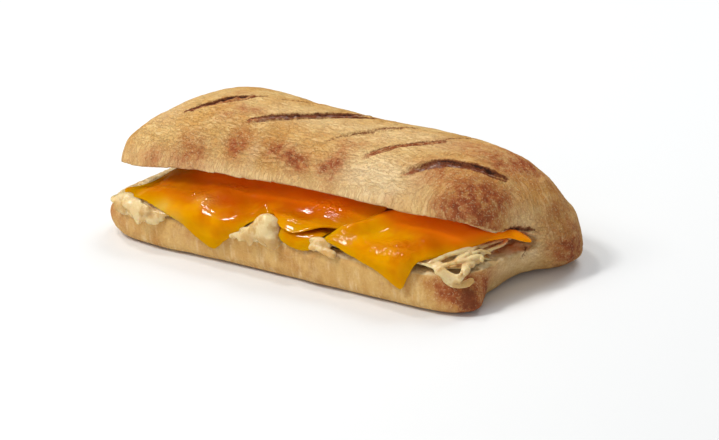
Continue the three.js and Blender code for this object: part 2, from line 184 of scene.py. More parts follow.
# Tears and cracks of the skin: the line that each follows, its width, depth and the darkness painted into
# it, which in the first is painted shade of the gap under the lid's edge.
TEARS = (
    # The crevice between the lid's lower edge and the right slice's tail: its darkness is painted shade of
    # the gap.
    (((71.4, -7.4, 23.7), (72.3, -3.9, 22.3), (73.2, -1.2, 21.2), (74.6, 0.8, 19.9)), 1, 1.8, 1),
    (((75.2, 1.2, 19.8), (76.6, 3.4, 19.2)), 0.45, 0.9, 0.6),
    (((72.6, 2, 14.2), (74.4, -1, 12.6), (74.8, -3, 10)), 0.7, 1.4, 0.55),
    (((77, 2.5, 14), (77.6, 0.5, 11), (76.6, -2, 8)), 0.6, 1, 0.4),
    (((79.6, 4, 15), (80, 2, 12)), 0.5, 0.8, 0.3),
)

# The rings of wrinkles round the longest slash: their middle, how much a ring is drawn
# out, and how far it strays.
RING_CENTRE = (62, -16, 27)
RING_STRETCH = 0.18
RING_SWAY = 5

# Points of a smooth line from one of its corners to the next.
SPAN_POINTS = 40

# Levels of the weights that a modifier takes.
WEIGHT_LEVELS = 20


def tint(*shown):
    """A display colour of 0 to 255 as the linear colour that shaders take."""
    return tuple(((c / 255 + 0.055) / 1.055) ** 2.4 if c > 10 else c / 255 / 12.92 for c in shown)


def smoothstep(value, low, high):
    share = np.clip((value - low) / (high - low), 0, 1)
    return share * share * (3 - 2 * share)


def lumps(points, size, seed):
    """Smooth noise between -1 and 1 at points, with lumps of about that size.

    The seed tells one layer of lumps from another.
    """
    scaled = points / size
    cell = np.floor(scaled).astype(np.int64)
    share = scaled - cell
    share = share * share * (3 - 2 * share)
    total = np.zeros(len(points))
    for corner in product((0, 1), repeat=3):
        spot = cell + np.array(corner)
        mixed = spot[:, 0] * 73856093 ^ spot[:, 1] * 19349663 ^ spot[:, 2] * 83492791 ^ seed * 2654435761
        mixed = (mixed ^ (mixed >> 13)) * 1274126177
        value = ((mixed >> 16) & 0xFFFF) / 32767.5 - 1
        weight = np.prod(np.where(corner, share, 1 - share), axis=1)
        total += value * weight
    return total


def places(mesh):
    flat = np.empty(len(mesh.vertices) * 3)
    mesh.vertices.foreach_get("co", flat)
    return flat.reshape(-1, 3) / MM


def facing(mesh):
    flat = np.empty(len(mesh.vertices) * 3)
    mesh.vertices.foreach_get("normal", flat)
    return flat.reshape(-1, 3)


def put_places(mesh, points):
    mesh.vertices.foreach_set("co", (points * MM).ravel())
    mesh.update()


def write_masks(mesh, masks):
    """Named values between 0 and 1 at the mesh's points, for the materials to read."""
    for name, values in masks.items():
        mask = mesh.attributes.new(name, "FLOAT", "POINT")
        mask.data.foreach_set("value", np.clip(values, 0, 1).astype(np.float32))


def select_only(*objects):
    bpy.ops.object.select_all(action="DESELECT")
    for each in objects:
        each.select_set(True)
    bpy.context.view_layer.objects.active = objects[0]


def edit(tool, **settings):
    """Uses one mesh tool in edit mode, on what is selected."""
    bpy.ops.object.mode_set(mode="EDIT")
    tool(**settings)
    bpy.ops.object.mode_set(mode="OBJECT")


def choose_faces(piece, chosen):
    """Selects the chosen faces of a piece and no others."""
    edit(bpy.ops.mesh.select_mode, type="FACE")
    edit(bpy.ops.mesh.select_all, action="DESELECT")
    piece.data.polygons.foreach_set("select", chosen)


def copy_node(node, name):
    """A copy of a CAD node with its corners merged, as the start of a finished piece."""
    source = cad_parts[node]
    mesh = source.data.copy()
    mesh.transform(source.matrix_world)
    mesh.materials.clear()
    piece = bpy.data.objects.new(name, mesh)
    bpy.context.collection.objects.link(piece)
    select_only(piece)
    edit(bpy.ops.mesh.select_all, action="SELECT")
    edit(bpy.ops.mesh.remove_doubles, threshold=MERGING)
    return piece


def remesh(piece, voxel):
    select_only(piece)
    piece.data.remesh_voxel_size = voxel
    piece.data.remesh_voxel_adaptivity = 0
    bpy.ops.object.voxel_remesh()


def apply_modifier(piece, kind, **settings):
    select_only(piece)
    modifier = piece.modifiers.new(kind.title(), kind)
    for key, value in settings.items():
        setattr(modifier, key, value)
    bpy.ops.object.modifier_apply(modifier=modifier.name)


def weigh(piece, name, weights):
    """Gives a piece a vertex group with a weight between 0 and 1 for each point."""
    group = piece.vertex_groups.new(name=name)
    levels = np.round(np.clip(weights, 0, 1) * WEIGHT_LEVELS).astype(int)
    for level in range(1, WEIGHT_LEVELS + 1):
        chosen = np.nonzero(levels == level)[0].tolist()
        if chosen:
            group.add(chosen, level / WEIGHT_LEVELS, "REPLACE")


def refine(piece, chosen):
    """Subdivides the chosen faces once."""
    select_only(piece)
    choose_faces(piece, chosen)
    edit(bpy.ops.mesh.subdivide, number_cuts=1, smoothness=0)


def finish_piece(piece, material, node):
    """Gives a piece its finish, hides the CAD node that it stands for, and says what it rides on."""
    piece.vertex_groups.clear()
    piece.data.materials.clear()
    piece.data.materials.append(material)
    select_only(piece)
    bpy.ops.object.shade_smooth()
    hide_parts(node)
    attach(piece, "root")


def along_slash(points, slash):
    """Share of the way along a slash, distance to its front side, and its own opening."""
    start, stop = np.array(slash["start"]), np.array(slash["stop"])
    way = stop - start
    length = np.linalg.norm(way)
    way = way / length
    front = np.array([way[1], -way[0]])
    apart = points[:, :2] - start
    share = apart @ way / length
    opening = np.clip(1 - (2 * share - 1) ** 2, 0, 1)
    across = apart @ front + slash["bow"] * opening
    return share, across, opening


def spread(points, spots):
    """Sum of soft spots, each a centre, its reaches and a strength."""
    total = np.zeros(len(points))
    for centre, reach, strength in spots:
        apart = (points - np.array(centre)) / np.array(reach)
        total += strength * np.exp(-np.sum(apart * apart, axis=1))
    return total


def pull(points):
    """Points moved with the baked skin."""
    moved = points.copy()
    for centre, reach, shift in PULLED:
        moved += spread(points, ((centre, reach, 1.0),))[:, None] * np.array(shift)
    return moved


def sink(points):
    """How far the lid's front edge has sunk at points."""
    return smoothstep(points[:, 2], *SINKING_FROM) * spread(points, SUNK)


def torn(points):
    """How deep the skin is torn at points, and how dark it is painted there, partly as painted shade."""
    deep = np.zeros(len(points))
    dark = np.zeros(len(points))
    ragged = points + 0.5 * lumps(points, 1.6, 35)[:, None]
    for line, width, depth, darkness_and_shade in TEARS:
        for start, stop in zip(line, line[1:]):
            start, way = np.array(start), np.array(stop) - np.array(start)
            share = np.clip((ragged - start) @ way / (way @ way), 0, 1)[:, None]
            apart = np.linalg.norm(ragged - start - share * way, axis=1)
            crack = np.exp(-((apart / width) ** 2))
            deep = np.maximum(deep, depth * crack)
            dark = np.maximum(dark, darkness_and_shade * crack)
    return deep, dark


def crust_masks(points, normals):
    """How much the skin is a cut face, and how much it is the base."""
    up, z = normals[:, 2], points[:, 2]
    lid_under = smoothstep(-up, 0.3, 0.85) * smoothstep(z, *LID_FROM)
    lower_cut = smoothstep(up, 0.45, 0.8) * smoothstep(z, *CUT_FACE_FROM) * (1 - smoothstep(z, *CUT_FACE_TO))
    base = smoothstep(-up, 0.6, 0.9) * (1 - smoothstep(z, *BASE_TO))
    return np.clip(lid_under + lower_cut, 0, 1), base


def carve_slashes(points, normals):
    """How far the crust moves along the slashes, and where it is charred, ashen or browned."""
    moved, char, ash, warm = (np.zeros(len(points)) for _ in range(4))
    on_top = smoothstep(normals[:, 2], -0.2, 0.2) * smoothstep(points[:, 2], *SLASHED_FROM)
    ragged = 0.55 * lumps(points, 2.3, 31) + 0.35 * lumps(points, 1.0, 32)
    for slash in SLASHES:
        share, across, opening = along_slash(points, slash)
        inside = ((share > -0.03) & (share < 1.03)) * on_top
        half = slash["width"] / 2 * np.sqrt(opening)
        fill = np.sqrt(np.clip(1 - (across / np.maximum(half, 0.2)) ** 2, 0, 1) * opening)
        slim = opening**0.4
        to_edge = across + ragged * (0.3 + 0.5 * slim) - slash["edge"] * slim
        thin = 0.3 + 0.25 * slim * (0.5 + share * slash["ash"])
        crack = np.exp(-((to_edge / thin) ** 2))
        ear = np.exp(-(((to_edge + thin + 0.5) / 0.8) ** 2))
        wide = slash["bed"] * slim
        bed = smoothstep(to_edge, 0.0, 0.5) * (1 - smoothstep(to_edge - wide, -0.4, 0.5))
        far_side = np.exp(-(((to_edge - wide) / 0.45) ** 2))
        far_side = far_side * (1 - 0.5 * slash["ash"] * (1 - smoothstep(share, 0.6, 0.9)))
        opened = smoothstep(slim, 0.0, 0.45)
        groove = 0.7 * crack + 0.12 * bed - 0.4 * ear
        moved += inside * (slash["fill"] * fill - slim * slash["char"] * groove)
        singed = np.exp(-(((to_edge - wide / 2) / (wide / 2 + 1.4)) ** 2)) * 0.22
        scorch = np.maximum(np.maximum(crack, 0.75 * far_side) * opened, singed)
        scorch = scorch * (0.88 + 0.25 * lumps(points, 3.0, 33))
        scorch = scorch * (1 - slash["faint"] * (1 - smoothstep(share, 0.05, 0.4)))
        warm = np.maximum(warm, inside * bed * opened * (1 - slash["ash"] * smoothstep(share, 0.1, 0.3)))
        char = np.maximum(char, inside * slash["char"] * scorch)
        ash = np.maximum(ash, inside * slash["ash"] * bed * smoothstep(slim, 0.55, 0.85))
    return moved, char, ash, warm


def grain(points):
    """How much the crust's fine wrinkles run down the front, and how much in rings."""
    down = smoothstep(-points[:, 1], *FRONT_GRAIN_OUT) * (1 - smoothstep(points[:, 2], *FRONT_GRAIN_TO))
    rings = smoothstep(points[:, 0], *RINGS_ALONG) * smoothstep(points[:, 2], *RINGS_FROM)
    return down * (1 - rings), rings


def wall_share(points):
    """How much points belong to the smooth front wall of the lower half."""
    return smoothstep(-points[:, 1], *SIDE_OUT) * (1 - smoothstep(points[:, 2], *SIDE_TO))


def crust_relief(points, crumb, browned):
    """Height of the crust's lumps, wrinkles and blisters and of the crumb's holes."""
    crust = 1 - crumb
    height = crust * (0.4 * lumps(points, 13, 1) + 0.22 * lumps(points, 6, 2))
    swirl = 1.6 * lumps(points, 9, 3) + 0.5 * lumps(points, 3, 11)
    apart = np.linalg.norm(points - np.array(RING_CENTRE), axis=1) + swirl
    down, rings = grain(points)
    along_roll = points * np.array([0.22, 1.0, 1.0]) + swirl[:, None]
    down_front = points * np.array([1.0, 0.2, 0.2]) + swirl[:, None]
    in_rings = np.stack([apart, 0.2 * points[:, 0], 0.2 * points[:, 1]], axis=1)
    wrinkles = 0.5 * down * lumps(down_front, 1.5, 4) + rings * lumps(in_rings, 1.7, 5)
    wrinkles += (1 - down - rings) * lumps(along_roll, 1.5, 5)
    calm = 1 - 0.5 * wall_share(points)
    height += crust * calm * (0.12 * wrinkles + 0.07 * lumps(points, 1.1, 12))
    blisters = np.clip(lumps(points, 2.2, 6) - 0.3, 0, 1) + 0.6 * np.clip(lumps(points, 1.3, 13) - 0.4, 0, 1)
    height += crust * 0.28 * blisters * (0.4 + browned)
    height -= crust * 0.3 * np.clip(lumps(points, 1.7, 7) - 0.5, 0, 1)
    holes = np.clip(lumps(points * np.array([1, 1, 0.6]), 3.2, 8) - 0.1, 0, 1)
    fine = np.clip(lumps(points, 1.4, 9) - 0.1, 0, 1)
    height -= crumb**4 * (1.5 * holes + 0.6 * fine)
    height += crumb * 0.3 * lumps(points, 8, 10)
    return height


class Drape:
    """Where a soft layer lies: on the filling inside the cut, and down the wall outside."""

    STEP = 0.5
    OUTSIDE = -90.0
    PAST_ENDS = (8, 14)
    UNDER_CUT = 1.5
    FILLED_FROM = (-93.8, -53.8)
    SHALLOW_FROM = (42.2, 76.2)

    def __init__(self):
        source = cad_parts["bread"]
        corners = [source.matrix_world @ v.co / MM for v in source.data.vertices]
        faces = [tuple(p.vertices) for p in source.data.polygons]
        tree = BVHTree.FromPolygons(corners, faces)
        self.along = np.arange(LIP_ENDS[0] - self.PAST_ENDS[0], LIP_ENDS[1] + self.PAST_ENDS[1], self.STEP)
        self.levels = np.arange(0.5, CUT_HEIGHT, self.STEP)
        self.front = np.empty((len(self.levels), len(self.along)))
        for row, z in enumerate(self.levels):
            for column, x in enumerate(self.along):
                hit = tree.ray_cast(Vector((x, self.OUTSIDE, z)), Vector((0, 1, 0)))[0]
                self.front[row, column] = hit.y if hit else HINGE_Y[0][1]

    def lip(self, x):
        """The lower lip's front, just under the cut."""
        row = self.front[int((CUT_HEIGHT - self.UNDER_CUT) / self.STEP)]
        return np.interp(np.clip(x, *LIP_ENDS), self.along, row)

    def wall(self, x, z):
        """The front of the lower half at a height."""
        row = np.clip((z - self.levels[0]) / self.STEP, 0, len(self.levels) - 1.001)
        column = np.clip((x - self.along[0]) / self.STEP, 0, len(self.along) - 1.001)
        r, c = row.astype(int), column.astype(int)
        fr, fc = row - r, column - c
        low = self.front[r, c] * (1 - fc) + self.front[r, c + 1] * fc
        high = self.front[r + 1, c] * (1 - fc) + self.front[r + 1, c + 1] * fc
        return low * (1 - fr) + high * fr

    def filling(self, x, y):
        """Height of the filling under the slices."""
        hinge = np.interp(x, *zip(*HINGE_Y))
        depth = (hinge - y) / (hinge - self.lip(x))
        ends = smoothstep(x, *self.FILLED_FROM) * (1 - 0.8 * smoothstep(x, *self.SHALLOW_FROM))
        rise = smoothstep(depth, 0, 0.5)
        fall = 1 - 0.65 * smoothstep(depth, 0.45, 1)
        return CUT_HEIGHT + FILL_GAP + FILL_PEAK * ends * rise * fall

    def lay(self, x, s, height):
        """Points of a layer: s runs from the lip inwards below zero and down the wall above it."""
        lip = self.lip(x) + LIP_BEND - FILL_GAP
        inside_y = lip - s * DRAPE_PITCH
        turn = np.clip(s / LIP_BEND, 0, math.pi / 2)
        hang = np.maximum(s - LIP_BEND * math.pi / 2, 0)
        z = self.filling(x, lip) - LIP_BEND * (1 - np.cos(turn)) - hang
        y = lip - LIP_BEND * np.sin(turn)
        y = np.where(z < CUT_HEIGHT, np.minimum(y, self.wall(x, z) - FILL_GAP), y)
        y = np.where(s < 0, inside_y, y - height * np.sin(turn))
        z = np.where(s < 0, self.filling(x, inside_y) + height, z + height * np.cos(turn))
        return np.stack([x, y, z], axis=1)


def behind_lip(s):
    """How much a place on the drape lies inside the cut."""
    return 1 - smoothstep(s, *LIP_TO)


def mixed(t, low, high, start, stop):
    """From start to stop, as t goes from low to high."""
    return ((high - t) * start + (t - low) * stop) / (high - low)


def closed_line(corners, count):
    """Points spaced evenly along a smooth closed line through the corners."""
    corners = np.array(corners, dtype=float)
    pieces = []
    for i in range(len(corners)):
        a, b, c, d = (corners[(i + step) % len(corners)] for step in (-1, 0, 1, 2))
        k = np.cumsum([0] + [np.linalg.norm(side) ** 0.5 for side in (b - a, c - b, d - c)])
        t = np.linspace(k[1], k[2], SPAN_POINTS, endpoint=False)[:, None]
        ab = mixed(t, k[0], k[1], a, b)
        bc = mixed(t, k[1], k[2], b, c)
        cd = mixed(t, k[2], k[3], c, d)
        pieces.append(mixed(t, k[1], k[2], mixed(t, k[0], k[2], ab, bc), mixed(t, k[1], k[3], bc, cd)))
    line = np.concatenate(pieces + [corners[:1]])
    run = np.concatenate([[0], np.cumsum(np.linalg.norm(np.diff(line, axis=0), axis=1))])
    at = np.linspace(0, run[-1], count, endpoint=False)
    return np.stack([np.interp(at, run, line[:, axis]) for axis in (0, 1)], axis=1)


class MaterialNodes:
    """Short ways to place and link the nodes of one material."""

    def __init__(self, name):
        self.material = bpy.data.materials.new(name)
        self.material.use_nodes = True
        self.tree = self.material.node_tree
        self.tree.nodes.clear()
        output = self.tree.nodes.new("ShaderNodeOutputMaterial")
        self.shader = self.tree.nodes.new("ShaderNodeBsdfPrincipled")
        self.plug(output.inputs["Surface"], self.shader.outputs["BSDF"])
        self.coordinates = self.tree.nodes.new("ShaderNodeTexCoord").outputs["Object"]

    def plug(self, socket, value):
        if isinstance(value, bpy.types.NodeSocket):
            self.tree.links.new(value, socket)
        elif socket.type == "RGBA" and len(value) == 3:
            socket.default_value = (*value, 1)
        else:
            socket.default_value = value

    def add(self, kind, output, inputs, **settings):
        """The named output of a new node, with its settings and inputs given."""
        node = self.tree.nodes.new(f"ShaderNode{kind}")
        for name, value in settings.items():
            setattr(node, name, value)
        for name, value in inputs.items():
            self.plug(node.inputs[name], value)
        return node.outputs[output]

    def set_shader(self, values):
        for name, value in values.items():
            self.plug(self.shader.inputs[name], value)

    def mapped(self, scale):
        return self.add("Mapping", "Vector", {"Vector": self.coordinates, "Scale": scale})

    def noise(self, size, detail=3.0, roughness=0.55, stretch=(1, 1, 1), distortion=0.0):
        """Noise with lumps of a size in millimetres, drawn out where stretch is under 1."""
        inputs = {
            "Vector": self.mapped([share / (size * MM) for share in stretch]),
            "Scale": 1,
            "Detail": detail,
            "Roughness": roughness,
            "Distortion": distortion,
        }
        return self.add("TexNoise", "Fac", inputs)

    def ring_noise(self, size):
        """Noise drawn out into rings round the middle of the wrinkled place."""
        middle = [c * MM for c in RING_CENTRE]
        apart = self.add("VectorMath", "Value", {0: self.coordinates, 1: middle}, operation="DISTANCE")
        place = self.tree.nodes.new("ShaderNodeSeparateXYZ")
        self.plug(place.inputs["Vector"], self.mapped([RING_STRETCH] * 3))
        sway = self.times(self.noise(6, detail=2), RING_SWAY * MM)
        rings = {"X": self.plus(apart, sway), "Y": place.outputs["X"], "Z": place.outputs["Y"]}
        vector = self.add("CombineXYZ", "Vector", rings)
        return self.add("TexNoise", "Fac", {"Vector": vector, "Scale": 1 / (size * MM), "Detail": 3})

    def blend(self, factor, first, second):
        return self.add("Mix", 0, {"Factor": factor, 2: first, 3: second})

    def mix(self, factor, first, second):
        return self.add("Mix", 2, {"Factor": factor, 6: first, 7: second}, data_type="RGBA")

    def lines(self, value, width):
        """Thin lines where a value passes through its middle."""
        return self.steps(self.math("ABSOLUTE", self.math("SUBTRACT", value, 0.5)), 0.0, width, 1.0, 0.0)

    def cells(self, size):
        vector = self.mapped([1 / (size * MM)] * 3)
        return self.add("TexVoronoi", "Distance", {"Vector": vector, "Scale": 1})

    def attribute(self, name):
        return self.add("Attribute", "Fac", {}, attribute_name=name)

    def math(self, operation, first, second=0.0, clamp=False):
        return self.add("Math", "Value", {0: first, 1: second}, operation=operation, use_clamp=clamp)

    def times(self, first, second):
        return self.math("MULTIPLY", first, second)

    def plus(self, first, second, clamp=False):
        return self.math("ADD", first, second, clamp)

    def steps(self, value, low, high, bottom=0.0, top=1.0):
        """From bottom to top, smoothly, as the value goes from low to high."""
        inputs = {"Value": value, "From Min": low, "From Max": high, "To Min": bottom, "To Max": top}
        return self.add("MapRange", "Result", inputs, interpolation_type="SMOOTHSTEP")

    def bump(self, height, distance, strength=1.0):
        inputs = {"Distance": distance * MM, "Strength": strength, "Height": height}
        self.plug(self.shader.inputs["Normal"], self.add("Bump", "Normal", inputs))


def crust_grain(m):
    """Fine wrinkles along the roll, down its front, and in rings at its right end."""
    grain = m.noise(1.2, detail=4, stretch=(0.34, 1, 1), distortion=0.9)
    down = m.noise(1.8, detail=4, stretch=(1, 0.3, 0.3), distortion=0.6)
    grain = m.blend(m.attribute("down_grain"), grain, down)
    return m.blend(m.attribute("ring_grain"), grain, m.ring_noise(1.1))


def side_color(m, look, calm, colour):
    """The lower half's smooth side: mottled, with pale streaks down it and darker blotches."""
    mottled = m.steps(m.noise(3.5, detail=4, stretch=(1, 1, 0.45)), 0.36, 0.64)
    streaks = m.steps(m.noise(1.6, detail=3, stretch=(1, 1, 0.22)), 0.5, 0.72, 0, 0.6)
    blotches = m.steps(m.noise(6.5, detail=3), 0.55, 0.72, 0, 0.5)
    colour = m.mix(m.times(calm, 0.75), colour, m.mix(mottled, look.wall_color, look.golden_color))
    colour = m.mix(m.times(calm, streaks), colour, look.pale_color)
    return m.mix(m.times(calm, blotches), colour, look.streak_color)


def crust_color(m, look, medium, grain, calm):
    """Golden crust, paler in places, some of them painted sheen and painted light, with light and dark grain
    in patches.
    """
    colour = m.mix(m.steps(m.noise(11, detail=2), 0.35, 0.65), look.crust_color, look.golden_color)
    colour = m.mix(m.steps(medium, 0.42, 0.66, 0, 0.5), colour, look.golden_color)
    # The pale mask also holds painted sheen, a painted highlight and painted light.
    pale = m.times(m.attribute("pale"), m.steps(medium, 0.25, 0.6, 0.5, 1))
    colour = side_color(m, look, calm, m.mix(pale, colour, look.pale_color))
    patches = m.steps(m.noise(7, detail=2), 0.4, 0.6, 0.35, 1.0)
    for mask in (m.attribute("down_grain"), calm):
        patches = m.times(patches, m.steps(mask, 0, 1, 1.0, 0.6))
    colour = m.mix(m.times(m.steps(grain, 0.52, 0.7, 0, 0.42), patches), colour, look.pale_color)
    return m.mix(m.times(m.steps(grain, 0.48, 0.32, 0, 0.36), patches), colour, look.streak_color)


def browned_color(m, look, browned, medium, uneven, colour):
    """Browned places, patchy at their edges and deepest in their middles."""
    patchy = m.plus(m.times(browned, m.steps(medium, 0.28, 0.62, 0.5, 1.15)), uneven, clamp=True)
    colour = m.mix(m.times(patchy, 0.92), colour, look.browned_color)
    deep = m.times(m.steps(browned, 0.55, 1.05), m.steps(medium, 0.46, 0.7, 0.15, 1.0))
    return m.mix(m.times(deep, 0.75), colour, look.deep_color)


def slash_color(m, look, uneven, colour):
    """Ash in the beds of the slashes, and char along their edges."""
    streaks = m.noise(1.1, detail=3, stretch=(0.5, 0.5, 1))
    ashen = m.mix(m.steps(streaks, 0.4, 0.62), look.singed_color, look.ash_color)
    ashen = m.mix(m.steps(streaks, 0.56, 0.7), ashen, look.pale_ash_color)
    colour = m.mix(m.attribute("ash"), colour, ashen)
    char = m.plus(m.attribute("char"), uneven)
    colour = m.mix(m.steps(char, 0.12, 0.5, 0, 0.92), colour, look.singed_color)
    return m.mix(m.steps(char, 0.55, 0.95, 0, 0.92), colour, look.char_color)


def bread_material(look):
    """Baked crust with browned, charred and ashen places, and open crumb where it is cut."""
    m = MaterialNodes("baked_ciabatta")
    browned = m.attribute("browned")
    calm = m.attribute("calm")
    medium = m.noise(3.2, detail=4, roughness=0.6)
    fine = m.noise(0.9, detail=3, roughness=0.65)
    uneven = m.steps(fine, 0.3, 0.7, -0.12, 0.12)
    grain = crust_grain(m)
    colour = crust_color(m, look, medium, grain, calm)
    colour = browned_color(m, look, browned, medium, uneven, colour)
    creases = m.times(m.lines(grain, 0.05), m.steps(calm, 0, 1, 1.0, 0.2))
    colour = m.mix(m.times(creases, 0.2), colour, look.browned_color)
    blisters = m.steps(m.noise(0.7, detail=2), 0.57, 0.68)
    blisters = m.math("MAXIMUM", blisters, m.steps(m.cells(1.1), 0.3, 0.12, 0, 0.7))
    specks = m.times(blisters, m.steps(browned, 0.1, 0.6, 0.24, 0.36))
    colour = m.mix(specks, colour, look.pale_color)
    inside = m.mix(m.steps(medium, 0.35, 0.65), look.crumb_color, look.crumb_shade_color)
    colour = slash_color(m, look, uneven, m.mix(m.attribute("crumb"), colour, inside))
    m.set_shader({
        "Base Color": colour,
        "Roughness": m.steps(medium, 0.3, 0.7, 0.52, 0.72),
        "Specular IOR Level": 0.26,
        "Subsurface Weight": 0.06,
        "Subsurface Radius": (1.0, 0.5, 0.25),
        "Subsurface Scale": 2 * MM,
    })
    relief = m.plus(m.times(fine, 0.65), m.times(grain, m.steps(calm, 0, 1, 0.65, 0.4)))
    relief = m.plus(relief, m.times(m.noise(0.4, detail=2), 0.2))
    relief = m.math("SUBTRACT", relief, m.times(creases, 0.25))
    m.bump(m.plus(relief, m.times(specks, 0.35)), 0.7, 0.9)
    return m.material


def cheddar_material(look):
    """Melted cheddar: glossy, amber where thin, with painted shade of a deep orange inside the cut and a
    painted glow furthest in.
    """
    m = MaterialNodes("melted_cheddar")
    # Painted glow: a brighter orange, and a little emitted light, where the cheese lies deepest in the lid's
    # shade.
    painted_glow = m.attribute("painted_glow")
    broad = m.noise(9, detail=2)
    thin = m.plus(m.attribute("thin"), m.steps(broad, 0.3, 0.7, -0.25, 0.3), clamp=True)
    # The deep mask is painted shade: a deeper orange inside the cut, under the lid, and in darker spots.
    deep = m.plus(m.attribute("deep"), m.steps(broad, 0.3, 0.7, 0.15, -0.15), clamp=True)
    colour = m.mix(thin, look.cheddar_color, look.thin_color)
    colour = m.mix(deep, colour, look.deep_color)
    colour = m.mix(painted_glow, colour, look.glow_color)
    colour = m.mix(m.times(m.attribute("rim"), 0.6), colour, look.thin_color)
    colour = m.mix(m.times(m.attribute("shreds"), 0.6), colour, look.milky_color)
    m.set_shader({
        "Base Color": colour,
        # The emission is part of the painted glow, not a lamp.
        "Emission Color": look.painted_ember_color,
        "Emission Strength": m.times(painted_glow, 0.07),
        "Roughness": m.steps(m.noise(1.6, detail=3), 0.35, 0.7, look.gloss, look.gloss + 0.08),
        "Specular IOR Level": 0.3,
        "Subsurface Weight": 0.45,
        "Subsurface Radius": (1.0, 0.4, 0.02),
        "Subsurface Scale": 4.5 * MM,
    })
    bubbly = m.plus(m.attribute("bubbly"), 0.08, clamp=True)
    m.bump(m.times(m.noise(1.7, detail=1.5), bubbly), 0.9, 0.9)
    return m.material


def soft_cheese_material(look):
    """Melted white cheese: creamy, moist and a little see-through."""
    m = MaterialNodes("melted_white_cheese")
    fine = m.noise(1.2, detail=3)
    # Darker, glassy melt: partly thin melt, partly painted shade low in the heap.
    shade = m.math("MAXIMUM", m.steps(m.noise(4, detail=3), 0.46, 0.66), m.attribute("glassy_and_shaded"))
    colour = m.mix(m.times(shade, 0.8), look.cheese_color, look.cheese_shade_color)
    colour = m.mix(m.times(m.attribute("stained"), 0.35), colour, look.stain_color)
    m.set_shader({
        "Base Color": colour,
        "Roughness": m.steps(fine, 0.35, 0.7, 0.16, 0.34),
        "Specular IOR Level": 0.45,
        "Subsurface Weight": 0.6,
        "Subsurface Radius": (1.0, 0.75, 0.4),
        "Subsurface Scale": 2.5 * MM,
    })
    m.bump(fine, 0.3, 0.4)
    return m.material


def color_property(name, description, color):
    return bpy.props.FloatVectorProperty(
        name=name, description=description, default=color, size=3, min=0, max=1, subtype="COLOR"
    )


def length_property(name, description, length, least):
    return bpy.props.FloatProperty(
        name=name, description=description, default=length * MM, min=least * MM, unit="LENGTH"
    )


def share_property(name, description, share, most):
    return bpy.props.FloatProperty(
        name=name, description=description, default=share, min=0, max=most, subtype="FACTOR"
    )


def power_property(name, description, power):
    return bpy.props.FloatProperty(name=name, description=description, default=power, min=0, unit="POWER")


class BreadLook(bpy.types.PropertyGroup):
    """Sizes and colours of the roll."""

    voxel: length_property("Skin Mesh", "Mesh size of the roll's skin", 0.88, 0.3)
    relief: share_property("Relief", "Share of the full wrinkles and blisters", 1.0, 2)
    crust_color: color_property("Crust", "Pale baked crust", tint(228, 188, 118))
    golden_color: color_property("Golden Crust", "Deeper golden crust", tint(212, 160, 84))
    # Pale Crust is also the colour of the painted sheen, highlight and light in the pale mask.
    pale_color: color_property("Pale Crust", "Stretched, floury crust", tint(242, 212, 160))
    wall_color: color_property("Side", "Smooth side of the lower half", tint(228, 186, 112))
    streak_color: color_property("Streaks", "Fine stretch marks", tint(190, 130, 64))
    browned_color: color_property("Browned", "Browned places", tint(172, 86, 40))
    deep_color: color_property("Deep Brown", "Darkest baked places", tint(116, 42, 20))
    singed_color: color_property("Singed", "Brown inside of a slash", tint(126, 62, 30))
    char_color: color_property("Char", "Charred edge of a slash", tint(56, 26, 16))
    ash_color: color_property("Ash", "Greyish bed of a slash", tint(146, 114, 100))
    pale_ash_color: color_property("Pale Ash", "Lightest streaks of the bed", tint(196, 166, 148))
    crumb_color: color_property("Crumb", "Open crumb", tint(236, 212, 164))
    crumb_shade_color: color_property("Crumb Shade", "Denser crumb", tint(212, 176, 120))


class CheddarLook(bpy.types.PropertyGroup):
    """Sizes and colours of the melted slices."""

    voxel: length_property("Slice Mesh", "Mesh size of a slice", 0.42, 0.2)
    gloss: share_property("Roughness", "Roughness of the melted face", 0.08, 1)
    cheddar_color: color_property("Cheddar", "Body of a slice", tint(205, 113, 0))
    thin_color: color_property("Thin Cheddar", "Thin, stretched cheddar", tint(228, 156, 0))
    # Deep Cheddar is painted shade inside the cut, under the lid.
    deep_color: color_property("Deep Cheddar", "Cheddar inside the cut", tint(188, 74, 0))
    # Glowing Cheddar and Ember are a painted glow, partly emitted, where the shade under the lid is deepest.
    glow_color: color_property("Glowing Cheddar", "Cheddar furthest in, lit through", tint(255, 132, 8))
    painted_ember_color: color_property("Ember", "Light that comes through inside the cut", (1, 0.06, 0))
    milky_color: color_property("Milky Cheddar", "Where shreds show through a slice", tint(238, 190, 96))


class ShreddedLook(bpy.types.PropertyGroup):
    """Sizes and colours of the shredded cheese."""

    voxel: length_property("Cheese Mesh", "Mesh size of the melted heap", 0.39, 0.2)
    strip_width: length_property("Shred Width", "Width of one shred", 2.0, 0.5)
    strip_depth: length_property("Shred Depth", "Thickness of one shred", 1.5, 0.5)
    cheese_color: color_property("Cheese", "Melted white cheese", tint(234, 211, 160))
    # Cheese Shade is also painted shade low in the heap and between the strands.
    cheese_shade_color: color_property("Cheese Shade", "Thin, glassy melt", tint(204, 162, 98))
    stain_color: color_property("Stain", "Where cheddar has run into it", tint(226, 158, 60))


class StageLook(bpy.types.PropertyGroup):
    """Floor, lights and camera."""

    floor_color: color_property("Floor", "Plain pale floor", (0.86, 0.86, 0.85))
    key_power: power_property("Key Light", "Power of the soft light in front", 3.2)
    sparkle_power: power_property("Sparkle Light", "Power of the small light seen in the melted cheese", 4.4)
    front_power: power_property("Front Light", "Power of the low light that reaches into the cut", 1.6)
    rim_power: power_property("Back Light", "Power of the light from behind", 5.4)
    room_light: share_property("Room Light", "Strength of the even light all round", 0.37, 4)


